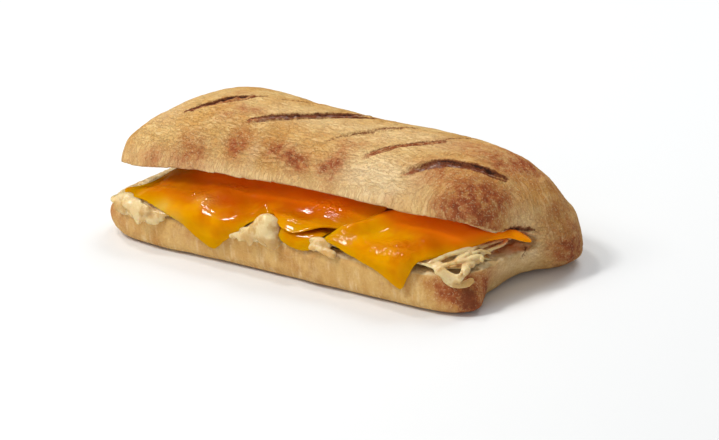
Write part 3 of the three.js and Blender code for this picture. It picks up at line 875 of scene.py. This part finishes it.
class AddCiabattaRoll(bpy.types.Operator):
    """Bake the roll's skin, its slashes and its open crumb over the bread solid"""

    bl_idname = "object.add_ciabatta_roll"
    bl_label = "Add Ciabatta Roll"

    # The lid's front edge, which is smoothed less than the rest.
    LID_EDGE = CUT_HEIGHT + 6
    LID_REACH = 12
    # How far a finer mesh reaches past a slash's sides and, as a share of its length, from
    # its middle, and the height from which the mesh is finer.
    FRONT_MARGIN = 1.5
    BACK_MARGIN = 1.8
    HALF_RUN = 0.56
    TOP_FROM = 26

    def execute(self, context):
        look = context.scene.bread_look
        roll = copy_node("bread", "ciabatta_roll")
        remesh(roll, look.voxel)
        points = places(roll.data)
        lid_edge = np.exp(-((points[:, 2] - self.LID_EDGE) / self.LID_REACH) ** 2)
        weigh(roll, "soft", 1 - 0.5 * lid_edge * smoothstep(-points[:, 1], 8, 22))
        apply_modifier(roll, "SMOOTH", factor=0.5, iterations=14, vertex_group="soft")
        points, normals = places(roll.data), facing(roll.data)
        near = self.near_slashes(points, normals)
        corners = np.empty(len(roll.data.loops), dtype=np.int32)
        roll.data.loops.foreach_get("vertex_index", corners)
        starts = np.empty(len(roll.data.polygons), dtype=np.int32)
        roll.data.polygons.foreach_get("loop_start", starts)
        refine(roll, near[corners[starts]] > 0.1)
        self.shape_skin(roll, look.relief)
        finish_piece(roll, bread_material(look), "bread")
        return {"FINISHED"}

    def near_slashes(self, points, normals):
        """Where the skin needs a finer mesh, along the slashes."""
        _, near, ash, _ = carve_slashes(points, normals)
        near = np.maximum(near, ash)
        on_top = (points[:, 2] > self.TOP_FROM) * (normals[:, 2] > 0)
        for slash in SLASHES:
            share, across, _ = along_slash(points, slash)
            front = -slash["width"] / 2 - self.FRONT_MARGIN
            back = max(slash["edge"], 0) + slash["bed"] + self.BACK_MARGIN
            beside = (np.abs(share - 0.5) < self.HALF_RUN) & (across > front) & (across < back)
            near = np.maximum(near, beside * on_top)
        return near

    def shape_skin(self, roll, relief):
        points, normals = places(roll.data), facing(roll.data)
        crumb, base = crust_masks(points, normals)
        browned = spread(points, BROWNED) * (1 - crumb)
        browned = browned * (0.8 + 0.35 * lumps(points, 6, 21)) + 0.12 * lumps(points, 9, 22)
        moved, char, ash, warm = carve_slashes(points, normals)
        carved = np.maximum(char, ash)
        tear, dark = torn(points)
        # The tears' painted darkness, partly painted shade, joins the char.
        char = np.maximum(char, dark)
        height = relief * crust_relief(points, crumb, np.clip(browned, 0, 1)) * (1 - 0.9 * base)
        sunk = sink(points)
        points += normals * (height * (1 - 0.3 * carved) - tear)[:, None]
        points[:, 2] -= sunk
        points[:, 2] += moved + 0.25 * carved * lumps(points, 1.2, 23)
        points = pull(points)
        points[:, 2] = np.maximum(points[:, 2], 0)
        put_places(roll.data, points)
        scorched = spread(points, SCORCHED) * (0.8 + 0.5 * lumps(points, 3.0, 24))
        down, rings = grain(points)
        masks = {
            "crumb": crumb,
            "browned": np.maximum(browned + 0.25 * base, 0.85 * warm),
            # Paler crust, with painted sheen, a painted highlight and painted light among it.
            "pale": spread(points, PALE_AND_PAINTED_LIGHT) * (1 - crumb),
            "char": np.maximum(char, scorched),
            "ash": ash,
            "down_grain": down,
            "ring_grain": rings,
            "calm": wall_share(points),
        }
        write_masks(roll.data, masks)


class AddCheddarSlices(bpy.types.Operator):
    """Melt the three cheddar slices over the lower half of the roll"""

    bl_idname = "object.add_cheddar_slices"
    bl_label = "Add Cheddar Slices"

    # Each slice's outline on the drape: x along the roll, s from the lip inwards below
    # zero and down the wall above it.
    SLICES = {
        "left": {
            "thickness": SLICE_THICKNESS,
            "centre": (-22.8, -18),
            "outline": (
                (-76.3, -2.5), (-59.3, 1.7), (-43.8, 6), (-34.8, 11.2), (-29.3, 13), (-24.8, 9.4),
                (-17.3, 3.8), (-13.8, -1), (-12.3, -5.8), (-9.3, -4.5), (-3.8, 0.6), (4.2, 2.2),
                (10.7, 0.5), (15.2, -3.5), (24.2, -8), (29.2, -14.5), (27.7, -19), (24.2, -31),
                (8.2, -35), (-27.8, -40), (-55.8, -34), (-66.8, -14),
            ),
        },
        "middle": {
            "thickness": MIDDLE_THICKNESS,
            "centre": (3.2, -10),
            "outline": (
                (-7.8, -6), (-4.3, 1), (-0.8, 4.2), (5.2, 6), (10.2, 5.8), (14.2, 3.5),
                (14.7, -4), (15.2, -24), (4.2, -29), (-9.8, -24),
            ),
        },
        "right": {
            "thickness": SLICE_THICKNESS,
            "centre": (46.2, -14),
            "outline": (
                (15.7, 1), (22.2, 2.8), (32.2, 5.1), (40.2, 7.6), (48.2, 11.4), (50.7, 7),
                (52.7, 2.5), (57.2, -2), (62.7, -8.5), (67.6, -17.5), (75.4, -21.5), (77.2, -26.5),
                (71.7, -30), (62.2, -29), (52.2, -30), (38.2, -27), (31.2, -17.5), (20.7, -5.5),
            ),
        },
    }
    SEGMENTS = 240
    RINGS = 96
    RIM_POINTS = 1440
    # Where a slice thins to its rim, as shares of the way out from its middle.
    THINNING = (0.72, 1)

    # Lumps of the filling under a slice, and hollows between them: place, reach, height.
    UNDER = (
        ((-37, -30.5), (4.5, 3.5), 1),
        ((-36, -24), (5, 3.5), 0.9),
        ((-56, -31), (9, 3), 0.7),
        ((-22, -25), (6, 4), -1),
        ((-22, -20), (5, 3), 0.9),
        ((12, -17.5), (9, 4.5), 1.5),
        ((2, -27), (6, 4), -0.7),
        ((44, -29.5), (5, 3), 0.9),
        ((52, -26), (4, 3.5), 0.8),
        ((33, -25), (8, 5), -0.8),
        ((26, -31), (5, 3), 0.6),
        ((72, -4), (6, 8), 4),
    )
    # Shreds that show through a slice.
    SHOWING = (
        ((-52, -36, 16), (3, 3, 3), 0.8),
        ((-46, -38, 14), (3, 3, 3), 0.6),
        ((-37, -31, 20), (4, 2.5, 2.5), 0.5),
    )
    # Places painted a deeper, darker orange: painted shade.
    PAINTED_SHADE_SPOTS = (
        ((-28, -28, 20.5), (9, 7, 6), 0.8),
        ((-20, -34, 19), (5, 5, 5), 0.5),
        ((50, -26, 19.5), (6, 8, 4), 0.35),
    )
    # Thinner places, where it is yellow.
    THIN = (
        ((28, -30, 20), (9, 7, 5), 0.8),
        ((39, -25, 21), (10, 5, 5), 0.6),
    )
    # Bubbly places, whose many small faces catch the light.
    BUBBLY = (
        ((11, -21, 23), (8, 3, 4), 1),
        ((-36.5, -31, 20.5), (5, 3, 3), 1),
        ((-43, -28, 20.8), (4, 2.5, 3), 0.8),
        ((45, -33.5, 19.5), (8, 5, 4), 1),
        ((0, -30.8, 21.2), (7, 1.5, 3), 0.7),
        ((20, -32, 19.6), (5, 3, 3), 0.9),
        ((-30, -21, 22.8), (5, 2, 3), 0.8),
        ((-58, -28, 20.2), (8, 2, 3), 0.6),
    )
    # Where a slice is painted a deep orange inside the cut, as painted shade under the lid, where it has a
    # painted glow, and where it is paler down the wall.
    PAINTED_SHADE_IN = (-32, -18)
    PAINTED_SHADE_ALONG = (-60, -38)
    LESS_PAINTED_SHADE = (14, 30)
    PAINTED_GLOW_IN = (-26, -17)
    DOWN_WALL = (30, 40)
    # The right slice's tail, whose underside is lower.
    TAIL_ALONG = (62, 70)
    TAIL_DROP = 0.9
    # Where the left slice rises onto the middle one, and where the right one comes down off
    # the left one's slanting edge, is lower at the lip and begins to rise inside the cut.
    ON_MIDDLE = (-13.8, -6.8)
    OFF_LEFT = (19.7, 26.2)
    LEFT_SLANT = 0.95
    LOWER_AT_LIP = (-4, 0)
    ON_LEFT = (-19, -15)
    FIRST_SEED = 40
    SEEDS_EACH = 5

    def execute(self, context):
        look = context.scene.cheddar_look
        material = cheddar_material(look)
        drape = Drape()
        for seed, (side, slice_shape) in enumerate(self.SLICES.items()):
            piece, rounds = self.model_slice(drape, side, slice_shape)
            remesh(piece, look.voxel)
            apply_modifier(piece, "SMOOTH", factor=0.5, iterations=6)
            self.melt(piece, rounds, self.FIRST_SEED + self.SEEDS_EACH * seed)
            apply_modifier(piece, "SMOOTH", factor=0.5, iterations=22)
            finish_piece(piece, material, f"cheddar_slice_{side}")
        return {"FINISHED"}

    def lift(self, side, x, s):
        """How far a slice is raised or lowered by the one that it laps."""
        if side == "left":
            return (MIDDLE_THICKNESS + FILL_GAP) * (1 - behind_lip(s)) * smoothstep(x, *self.ON_MIDDLE)
        if side == "middle":
            return -(MIDDLE_THICKNESS + FILL_GAP) * behind_lip(s)
        near_left = 1 - smoothstep(x + self.LEFT_SLANT * s, *self.OFF_LEFT)
        at_lip = 1 - 0.7 * smoothstep(s, *self.LOWER_AT_LIP)
        return (SLICE_THICKNESS + FILL_GAP) * near_left * at_lip * smoothstep(s, *self.ON_LEFT)

    def model_slice(self, drape, side, shape):
        """A flattened ball whose rim follows the outline, laid on the drape."""
        bpy.ops.object.select_all(action="DESELECT")
        bpy.ops.mesh.primitive_uv_sphere_add(segments=self.SEGMENTS, ring_count=self.RINGS, radius=1)
        piece = bpy.context.object
        piece.name = f"cheddar_{side}"
        ball = np.clip(places(piece.data) * MM, -1, 1)
        rim = closed_line(shape["outline"], self.RIM_POINTS)
        turn = 0.5 + np.arctan2(ball[:, 1], ball[:, 0]) / (2 * math.pi)
        on_rim = rim[np.round(turn * len(rim)).astype(int) % len(rim)]
        middle = np.array(shape["centre"])
        shares = np.hypot(ball[:, 0], ball[:, 1])
        spot = middle + (on_rim - middle) * shares[:, None]
        level = 0.5 + 0.5 * np.sign(ball[:, 2]) * np.sqrt(np.abs(ball[:, 2]))
        thinned = 1 - 0.65 * smoothstep(shares, *self.THINNING)
        height = self.lift(side, spot[:, 0], spot[:, 1]) + FILL_GAP + shape["thickness"] * thinned * level
        laid = drape.lay(spot[:, 0], spot[:, 1], height)
        put_places(piece.data, laid)
        rounds = KDTree(len(laid))
        for number, point in enumerate(laid):
            rounds.insert(point, number)
        rounds.balance()
        return piece, (rounds, shares)

    def melt(self, piece, rounds, seed):
        """Lets a slice sag and ripple, and says where it is thin, where it has painted shade and a painted
        glow inside the cut, and where it is bubbly.
        """
        points, normals = places(piece.data), facing(piece.data)
        laid, shares = rounds
        outward = shares[[laid.find(point)[1] for point in points]]
        for (x, y), (wide, deep), raised in self.UNDER:
            apart = ((points[:, 0] - x) / wide) ** 2 + ((points[:, 1] - y) / deep) ** 2
            points[:, 2] += raised * np.exp(-apart)
        tail = smoothstep(points[:, 0], *self.TAIL_ALONG) * smoothstep(-normals[:, 2], -0.3, 0.5)
        points[:, 2] -= self.TAIL_DROP * tail
        up = np.clip(normals[:, 2] + 0.8 * -normals[:, 1], 0, 1)
        height = 0.6 * lumps(points, 9, seed) + 0.35 * lumps(points, 5, seed + 1)
        height += 0.4 * np.clip(lumps(points, 3.0, seed + 2) - 0.45, 0, 1)
        points += normals * (0.1 + height * up)[:, None]
        x, y = points[:, 0], points[:, 1]
        # The deep mask is painted shade inside the cut, under the lid, with less of it on the right slice.
        inside = smoothstep(y, *self.PAINTED_SHADE_IN) * smoothstep(x, *self.PAINTED_SHADE_ALONG)
        deep = inside * (1 - 0.75 * smoothstep(x, *self.LESS_PAINTED_SHADE))
        masks = {
            "rim": smoothstep(outward, *self.THINNING),
            "thin": np.maximum(smoothstep(-y, *self.DOWN_WALL) * 0.8, spread(points, self.THIN)),
            "deep": np.maximum(deep, spread(points, self.PAINTED_SHADE_SPOTS)),
            # Painted glow where the shade under the lid is deepest.
            "painted_glow": inside * smoothstep(y, *self.PAINTED_GLOW_IN),
            "shreds": spread(points, self.SHOWING),
            "bubbly": spread(points, self.BUBBLY),
        }
        write_masks(piece.data, masks)
        put_places(piece.data, pull(points))


class AddShreddedCheese(bpy.types.Operator):
    """Melt shreds of white cheese over their own core, where they show at the lip"""

    bl_idname = "object.add_shredded_cheese"
    bl_label = "Add Shredded Cheese"

    # Shreds that lie anyhow at the left end: where they are along x and along the drape, the
    # most that they turn from the roll's length, and how many there are.
    LOOSE_ALONG = (-76, -55)
    LOOSE_DOWN = (-4.5, 0.4)
    LOOSE_TURN = 0.5
    LOOSE_COUNT = 20
    # Shreds that lie on the lip or on the wall: their width and the line that they follow.
    STRANDS = (
        (2.6, (
            (56.9, -30.6, 15.6), (59.6, -31, 15.2), (61.2, -31, 13.6), (62.6, -31, 11.2),
            (65, -29.8, 9.8), (67.4, -28, 9.6), (69.8, -26, 11.4),
        )),
        (4.5, (
            (53.4, -31.2, 15.8), (56.6, -27.6, 16.6), (58.6, -24, 17), (60.6, -20, 17.4), (62.4, -16, 17.4),
        )),
        (1.8, (
            (59.8, -30.4, 15.8), (61.8, -29, 16.2), (63.6, -26.6, 16.4), (65.4, -23.6, 16.2),
            (66.6, -22, 15.6),
        )),
        (1.7, (
            (61.6, -26.4, 15.8), (62.8, -23, 17), (64.4, -19, 17.2), (63.8, -14.6, 17), (62.4, -10.4, 16.4),
        )),
        (1.6, ((64.4, -25, 15.6), (66.2, -21.6, 16.6), (68, -18.8, 16.4), (69.2, -20.6, 15.2))),
        (1.3, ((66.8, -17.8, 15.8), (68.2, -12.4, 16.2), (68.6, -6.4, 15.8), (67.4, -1.4, 15.4))),
        (1.3, ((64, -13.8, 16.4), (65.6, -8.8, 16.4), (66.6, -3.6, 15.8), (68, 1, 15))),
        (1.4, ((65.2, -20, 17), (66.8, -16.6, 17.2), (69, -14.4, 15.8))),
        (2.2, ((-22.4, -36.8, 12.2), (-18.5, -37, 13.4), (-14.8, -36.8, 14.6), (-11.4, -36.4, 15.4))),
        (1.9, ((-18, -36.4, 14.9), (-14.4, -36.2, 15.9), (-11, -35.8, 16.6))),
        (3, ((11.4, -36.5, 15), (14.4, -36.3, 15.4), (18, -36.2, 15), (22, -36.2, 13.6))),
    )
    # Rounded lumps where the melt has run together: their middle and reaches.
    LUMPS = (
        ((-7.4, -34.6, 16.4), (5.2, 3.6, 5.8)),
        ((-4.6, -35.4, 14), (3, 3, 3.6)),
        ((-11.6, -34.8, 15), (3.6, 2.8, 3.4)),
        ((-73, -33, 14.4), (5, 3.2, 1.7)),
        ((-66.5, -35.6, 15), (4.5, 2.8, 2.2)),
        ((-60, -36.8, 14.2), (4.6, 2.1, 2.2)),
        ((-54.5, -36.6, 13), (3.6, 1.5, 1.6)),
        ((-70, -35.6, 12.8), (4.4, 1.8, 2.4)),
        ((-63, -37, 12.6), (5, 1.6, 2.4)),
        ((-57, -37.4, 11.8), (4, 1.3, 2)),
        ((14.8, -34.8, 16.2), (4.6, 1.5, 2)),
        ((12.4, -35.3, 14.6), (2.6, 1.1, 1.3)),
        ((-70.5, -33.6, 16), (4, 2.2, 1.6)),
    )
    # Places where the melt is thin and lets the crumb show, and, low between the strands at the right end,
    # painted shade: centre, reach and strength.
    GLASSY_AND_SHADED = (
        ((-64, -36, 14), (12, 5, 5), 0.3),
        ((55, -22, 15), (3.2, 9, 3), 1),
        ((64, -22, 14.2), (6, 8, 1.4), 1),
    )
    # The core is lower and shorter at the right end, where the browned corner shows.
    LOW_ALONG = (60, 66)
    LOW_IN = (-17, -11)
    LOW_DROP = 2.6
    SHORT_FROM = 67
    SHORT_OUT = (10, 17)
    SHORT_SHARE = 0.75
    # The height from which the core is felt for.
    ABOVE = 22
    # How shreds lie: their least height over the skin, their least bend, the most that a wide
    # one is deep, and how far they are sunk into the wall and into the lip.
    LEAST_CLEAR = 0.6
    LEAST_BEND = 0.05
    MOST_DEPTH = 1.1
    SUNK_OUT = 0.3
    SUNK_DOWN = 1.5
    SHRED_STEPS = 6
    LEVEL = 1e-4
    SEED = 7

    def execute(self, context):
        look = context.scene.shredded_look
        core = copy_node("shredded_cheese", "melted_shreds")
        remesh(core, look.voxel)
        apply_modifier(core, "SMOOTH", factor=0.5, iterations=40)
        points = places(core.data)
        x, y = points[:, 0].copy(), points[:, 1]
        points[:, 2] -= self.LOW_DROP * smoothstep(x, *self.LOW_ALONG) * smoothstep(y, *self.LOW_IN)
        past = np.clip(x - self.SHORT_FROM, 0, None)
        points[:, 0] -= self.SHORT_SHARE * past * smoothstep(-y, *self.SHORT_OUT)
        put_places(core.data, points)
        roll = self.tree(bpy.data.objects["ciabatta_roll"])
        under = self.tree(core)
        drape = Drape()
        pattern = self.model_shred(look)
        draw = random.Random(self.SEED)
        shreds = [self.strand(pattern, roll, width, line) for width, line in self.STRANDS]
        shreds += [self.model_lump(middle, reaches) for middle, reaches in self.LUMPS]
        left, right = self.LOOSE_ALONG
        inner, outer = self.LOOSE_DOWN
        for number in range(self.LOOSE_COUNT):
            x = left + (right - left) * (number + draw.random()) / self.LOOSE_COUNT
            s = inner + (outer - inner) * draw.random()
            turn = self.LOOSE_TURN * (2 * draw.random() - 1)
            bend = 2 * (draw.random() - 0.5)
            length = 6 + 5 * draw.random()
            shreds.append(self.lay(pattern, drape, under, x, s, turn, bend, length))
        bpy.data.objects.remove(pattern)
        select_only(core, *shreds)
        bpy.ops.object.join()
        remesh(core, look.voxel)
        apply_modifier(core, "SMOOTH", factor=0.5, iterations=3)
        points, normals = places(core.data), facing(core.data)
        points += normals * (0.12 + 0.12 * lumps(points, 2.4, 61) + 0.06 * lumps(points, 1.1, 62))[:, None]
        put_places(core.data, points)
        # Glassy, darker melt in patches, more of it lower down: partly thin melt, partly painted shade low
        # in the heap.
        glassy_and_shaded = smoothstep(lumps(points, 3.5, 64), 0.0, 0.5) * smoothstep(-points[:, 2], -17.5, -14)
        masks = {
            "stained": lumps(points, 5, 63) - 0.1,
            "glassy_and_shaded": np.maximum(glassy_and_shaded, spread(points, self.GLASSY_AND_SHADED)),
        }
        write_masks(core.data, masks)
        finish_piece(core, soft_cheese_material(look), "shredded_cheese")
        return {"FINISHED"}

    def tree(self, piece):
        """What rays and nearest places on a piece are found with."""
        faces = [tuple(face.vertices) for face in piece.data.polygons]
        return BVHTree.FromPolygons(places(piece.data).tolist(), faces)

    def model_shred(self, look):
        """One straight shred of unit length, rounded and tapered at its ends."""
        step = 1 / self.SHRED_STEPS
        bpy.ops.object.select_all(action="DESELECT")
        bpy.ops.mesh.primitive_cube_add(size=1, location=((step - 1) / 2, 0, 0))
        shred = bpy.context.object
        shred.name = "shred_pattern"
        edit(bpy.ops.transform.resize, value=(step, look.strip_width / MM, look.strip_depth / MM))
        bpy.ops.object.transform_apply(location=True, rotation=False, scale=True)
        for _ in range(self.SHRED_STEPS - 1):
            far = max(face.center.x for face in shred.data.polygons)
            choose_faces(shred, [far - face.center.x < self.LEVEL for face in shred.data.polygons])
            edit(bpy.ops.mesh.extrude_region_move, TRANSFORM_OT_translate={"value": (step, 0, 0)})
        apply_modifier(shred, "SUBSURF", levels=2, render_levels=2)
        return shred

    def model_lump(self, middle, reaches):
        """A ball drawn out to its reaches and made uneven."""
        bpy.ops.object.select_all(action="DESELECT")
        bpy.ops.mesh.primitive_uv_sphere_add(segments=64, ring_count=32, radius=MM)
        lump = bpy.context.object
        ball = places(lump.data)
        uneven = 1 + 0.1 * lumps(ball, 0.7, 65)
        put_places(lump.data, np.array(middle) + ball * np.array(reaches) * uneven[:, None])
        return lump

    def copy_shred(self, pattern, place):
        """A copy of the shred with each of its corners put where place says."""
        shred = pattern.copy()
        shred.data = pattern.data.copy()
        bpy.context.collection.objects.link(shred)
        for vertex in shred.data.vertices:
            vertex.co = Vector(place(*vertex.co)) * MM
        return shred

    def strand(self, pattern, roll, width, line):
        """A shred that follows a line, lying just clear of the roll's skin."""
        corners = []
        for corner in line:
            near, normal, _, _ = roll.find_nearest(Vector(corner))
            out = max((Vector(corner) - near).dot(normal), self.LEAST_CLEAR)
            corners.append((near + normal * out, normal))
        share = width / 2

        def place(along, side, lift):
            step = min(along + 0.5, 0.999) * (len(corners) - 1)
            i = int(step)
            t = step - i
            (a, up_a), (b, up_b) = corners[i], corners[i + 1]
            before = corners[max(i - 1, 0)][0]
            after = corners[min(i + 2, len(corners) - 1)][0]
            out_a, in_b = (b - before) / 2, (after - a) / 2
            spot = a * (2 * t**3 - 3 * t**2 + 1) + out_a * (t**3 - 2 * t**2 + t)
            spot += b * (3 * t**2 - 2 * t**3) + in_b * (t**3 - t**2)
            way = (b - a).normalized()
            up = up_a.lerp(up_b, t).normalized()
            across = up.cross(way).normalized()
            return spot + across * side * share + up * lift * min(share, self.MOST_DEPTH)

        return self.copy_shred(pattern, place)

    def lay(self, pattern, drape, under, x, s, turn, bend, length):
        """A copy of the shred, bent in its own plane and laid over the filling and the lip."""
        bend = bend if abs(bend) > self.LEAST_BEND else self.LEAST_BEND
        radius = length / bend

        def place(along, side, lift):
            heading = turn + bend * along
            at_x = x + radius * (math.sin(heading) - math.sin(turn)) + side * math.sin(heading)
            at_s = s + radius * (math.cos(turn) - math.cos(heading)) - side * math.cos(heading)
            spot = drape.lay(np.array([at_x]), np.array([at_s]), 0.0)[0]
            if at_s < 0:
                found = under.ray_cast(Vector((at_x, spot[1], self.ABOVE)), Vector((0, 0, -1)))[0]
                spot[2] = (found.z if found else CUT_HEIGHT) + lift
                return spot
            curl = min(at_s / LIP_BEND, math.pi / 2)
            spot[1] -= (lift - self.SUNK_OUT) * math.sin(curl)
            spot[2] += (lift - self.SUNK_DOWN) * math.cos(curl)
            return spot

        return self.copy_shred(pattern, place)


class SetPaleStage(bpy.types.Operator):
    """Set a plain pale floor, soft studio lights and the camera"""

    bl_idname = "scene.set_pale_stage"
    bl_label = "Set Pale Stage"

    CAMERA_PLACE = (0.41874, -0.57774, 0.31054)
    CAMERA_TURN = (67.011, 2.808, 34.309)
    CAMERA_LENS = 110.153
    SENSOR_WIDTH = 36

    FLOOR_SIZE = 8
    # Each light's place and size in metres, its colour, the power that it takes and its
    # share of it, and whether it is seen in the gloss of the cheese.
    LIGHTS = {
        "key_light": ((-0.62, -0.55, 0.85), 0.42, (1, 1, 1), "key_power", 1, False),
        "sparkle_light": ((-0.5, -0.38, 0.95), 0.17, (1, 1, 1), "sparkle_power", 1, True),
        "high_light": ((-0.46, 0.06, 0.98), 0.14, (1, 1, 1), "sparkle_power", 0.5, True),
        "front_light": ((0.4, -1.05, 0.3), 0.5, (1, 1, 1), "front_power", 1, False),
        "back_light": ((0, 0.75, 0.85), 0.6, (0.9, 0.95, 1), "rim_power", 1, False),
    }

    def execute(self, context):
        look = context.scene.stage_look
        self.add_floor(look)
        for name, (place, size, color, power, share, glossy) in self.LIGHTS.items():
            self.add_light(name, place, size, color, share * getattr(look, power), glossy)
        world = context.scene.world or bpy.data.worlds.new("room")
        context.scene.world = world
        world.use_nodes = True
        background = world.node_tree.nodes["Background"]
        background.inputs["Color"].default_value = (1, 1, 1, 1)
        background.inputs["Strength"].default_value = look.room_light
        world.cycles_visibility.glossy = False
        self.add_camera(context)
        context.scene.view_settings.view_transform = "Standard"
        context.scene.view_settings.look = "None"
        return {"FINISHED"}

    def add_floor(self, look):
        bpy.ops.object.select_all(action="DESELECT")
        bpy.ops.mesh.primitive_plane_add(size=self.FLOOR_SIZE)
        floor = bpy.context.object
        floor.name = "pale_floor"
        m = MaterialNodes("pale_floor")
        m.set_shader({"Base Color": look.floor_color, "Roughness": 0.6})
        floor.data.materials.append(m.material)
        floor.visible_glossy = False

    def add_light(self, name, place, size, color, power, glossy):
        data = bpy.data.lights.new(name, "AREA")
        data.size = size
        data.color = color
        data.energy = power
        light = bpy.data.objects.new(name, data)
        light.visible_glossy = glossy
        light.location = place
        light.rotation_euler = (-Vector(place)).to_track_quat("-Z", "Y").to_euler()
        bpy.context.collection.objects.link(light)

    def add_camera(self, context):
        data = bpy.data.cameras.new("camera")
        data.sensor_width = self.SENSOR_WIDTH
        data.lens = self.CAMERA_LENS
        camera = bpy.data.objects.new("camera", data)
        camera.location = self.CAMERA_PLACE
        camera.rotation_euler = [math.radians(angle) for angle in self.CAMERA_TURN]
        context.collection.objects.link(camera)
        context.scene.camera = camera


OPERATORS = (AddCiabattaRoll, AddCheddarSlices, AddShreddedCheese, SetPaleStage)
LOOKS = {
    "bread_look": BreadLook,
    "cheddar_look": CheddarLook,
    "shredded_look": ShreddedLook,
    "stage_look": StageLook,
}


class CiabattaPanel(bpy.types.Panel):
    """Lists the steps that dress the sandwich"""

    bl_idname = "VIEW3D_PT_grilled_cheese_ciabatta"
    bl_label = "Grilled Cheese Ciabatta"
    bl_space_type = "VIEW_3D"
    bl_region_type = "UI"
    bl_category = "Ciabatta"

    def draw(self, context):
        for operator, (name, look) in zip(OPERATORS, LOOKS.items()):
            box = self.layout.box()
            box.operator(operator.bl_idname)
            for key in look.__annotations__:
                box.prop(getattr(context.scene, name), key)


def register():
    for name, look in LOOKS.items():
        bpy.utils.register_class(look)
        setattr(bpy.types.Scene, name, bpy.props.PointerProperty(type=look))
    for operator in OPERATORS:
        bpy.utils.register_class(operator)
    bpy.utils.register_class(CiabattaPanel)


def unregister():
    bpy.utils.unregister_class(CiabattaPanel)
    for operator in reversed(OPERATORS):
        bpy.utils.unregister_class(operator)
    for name, look in LOOKS.items():
        delattr(bpy.types.Scene, name)
        bpy.utils.unregister_class(look)


def main():
    register()
    bpy.ops.object.add_ciabatta_roll()
    bpy.ops.object.add_cheddar_slices()
    bpy.ops.object.add_shredded_cheese()
    bpy.ops.scene.set_pale_stage()


if __name__ == "__main__":
    main()
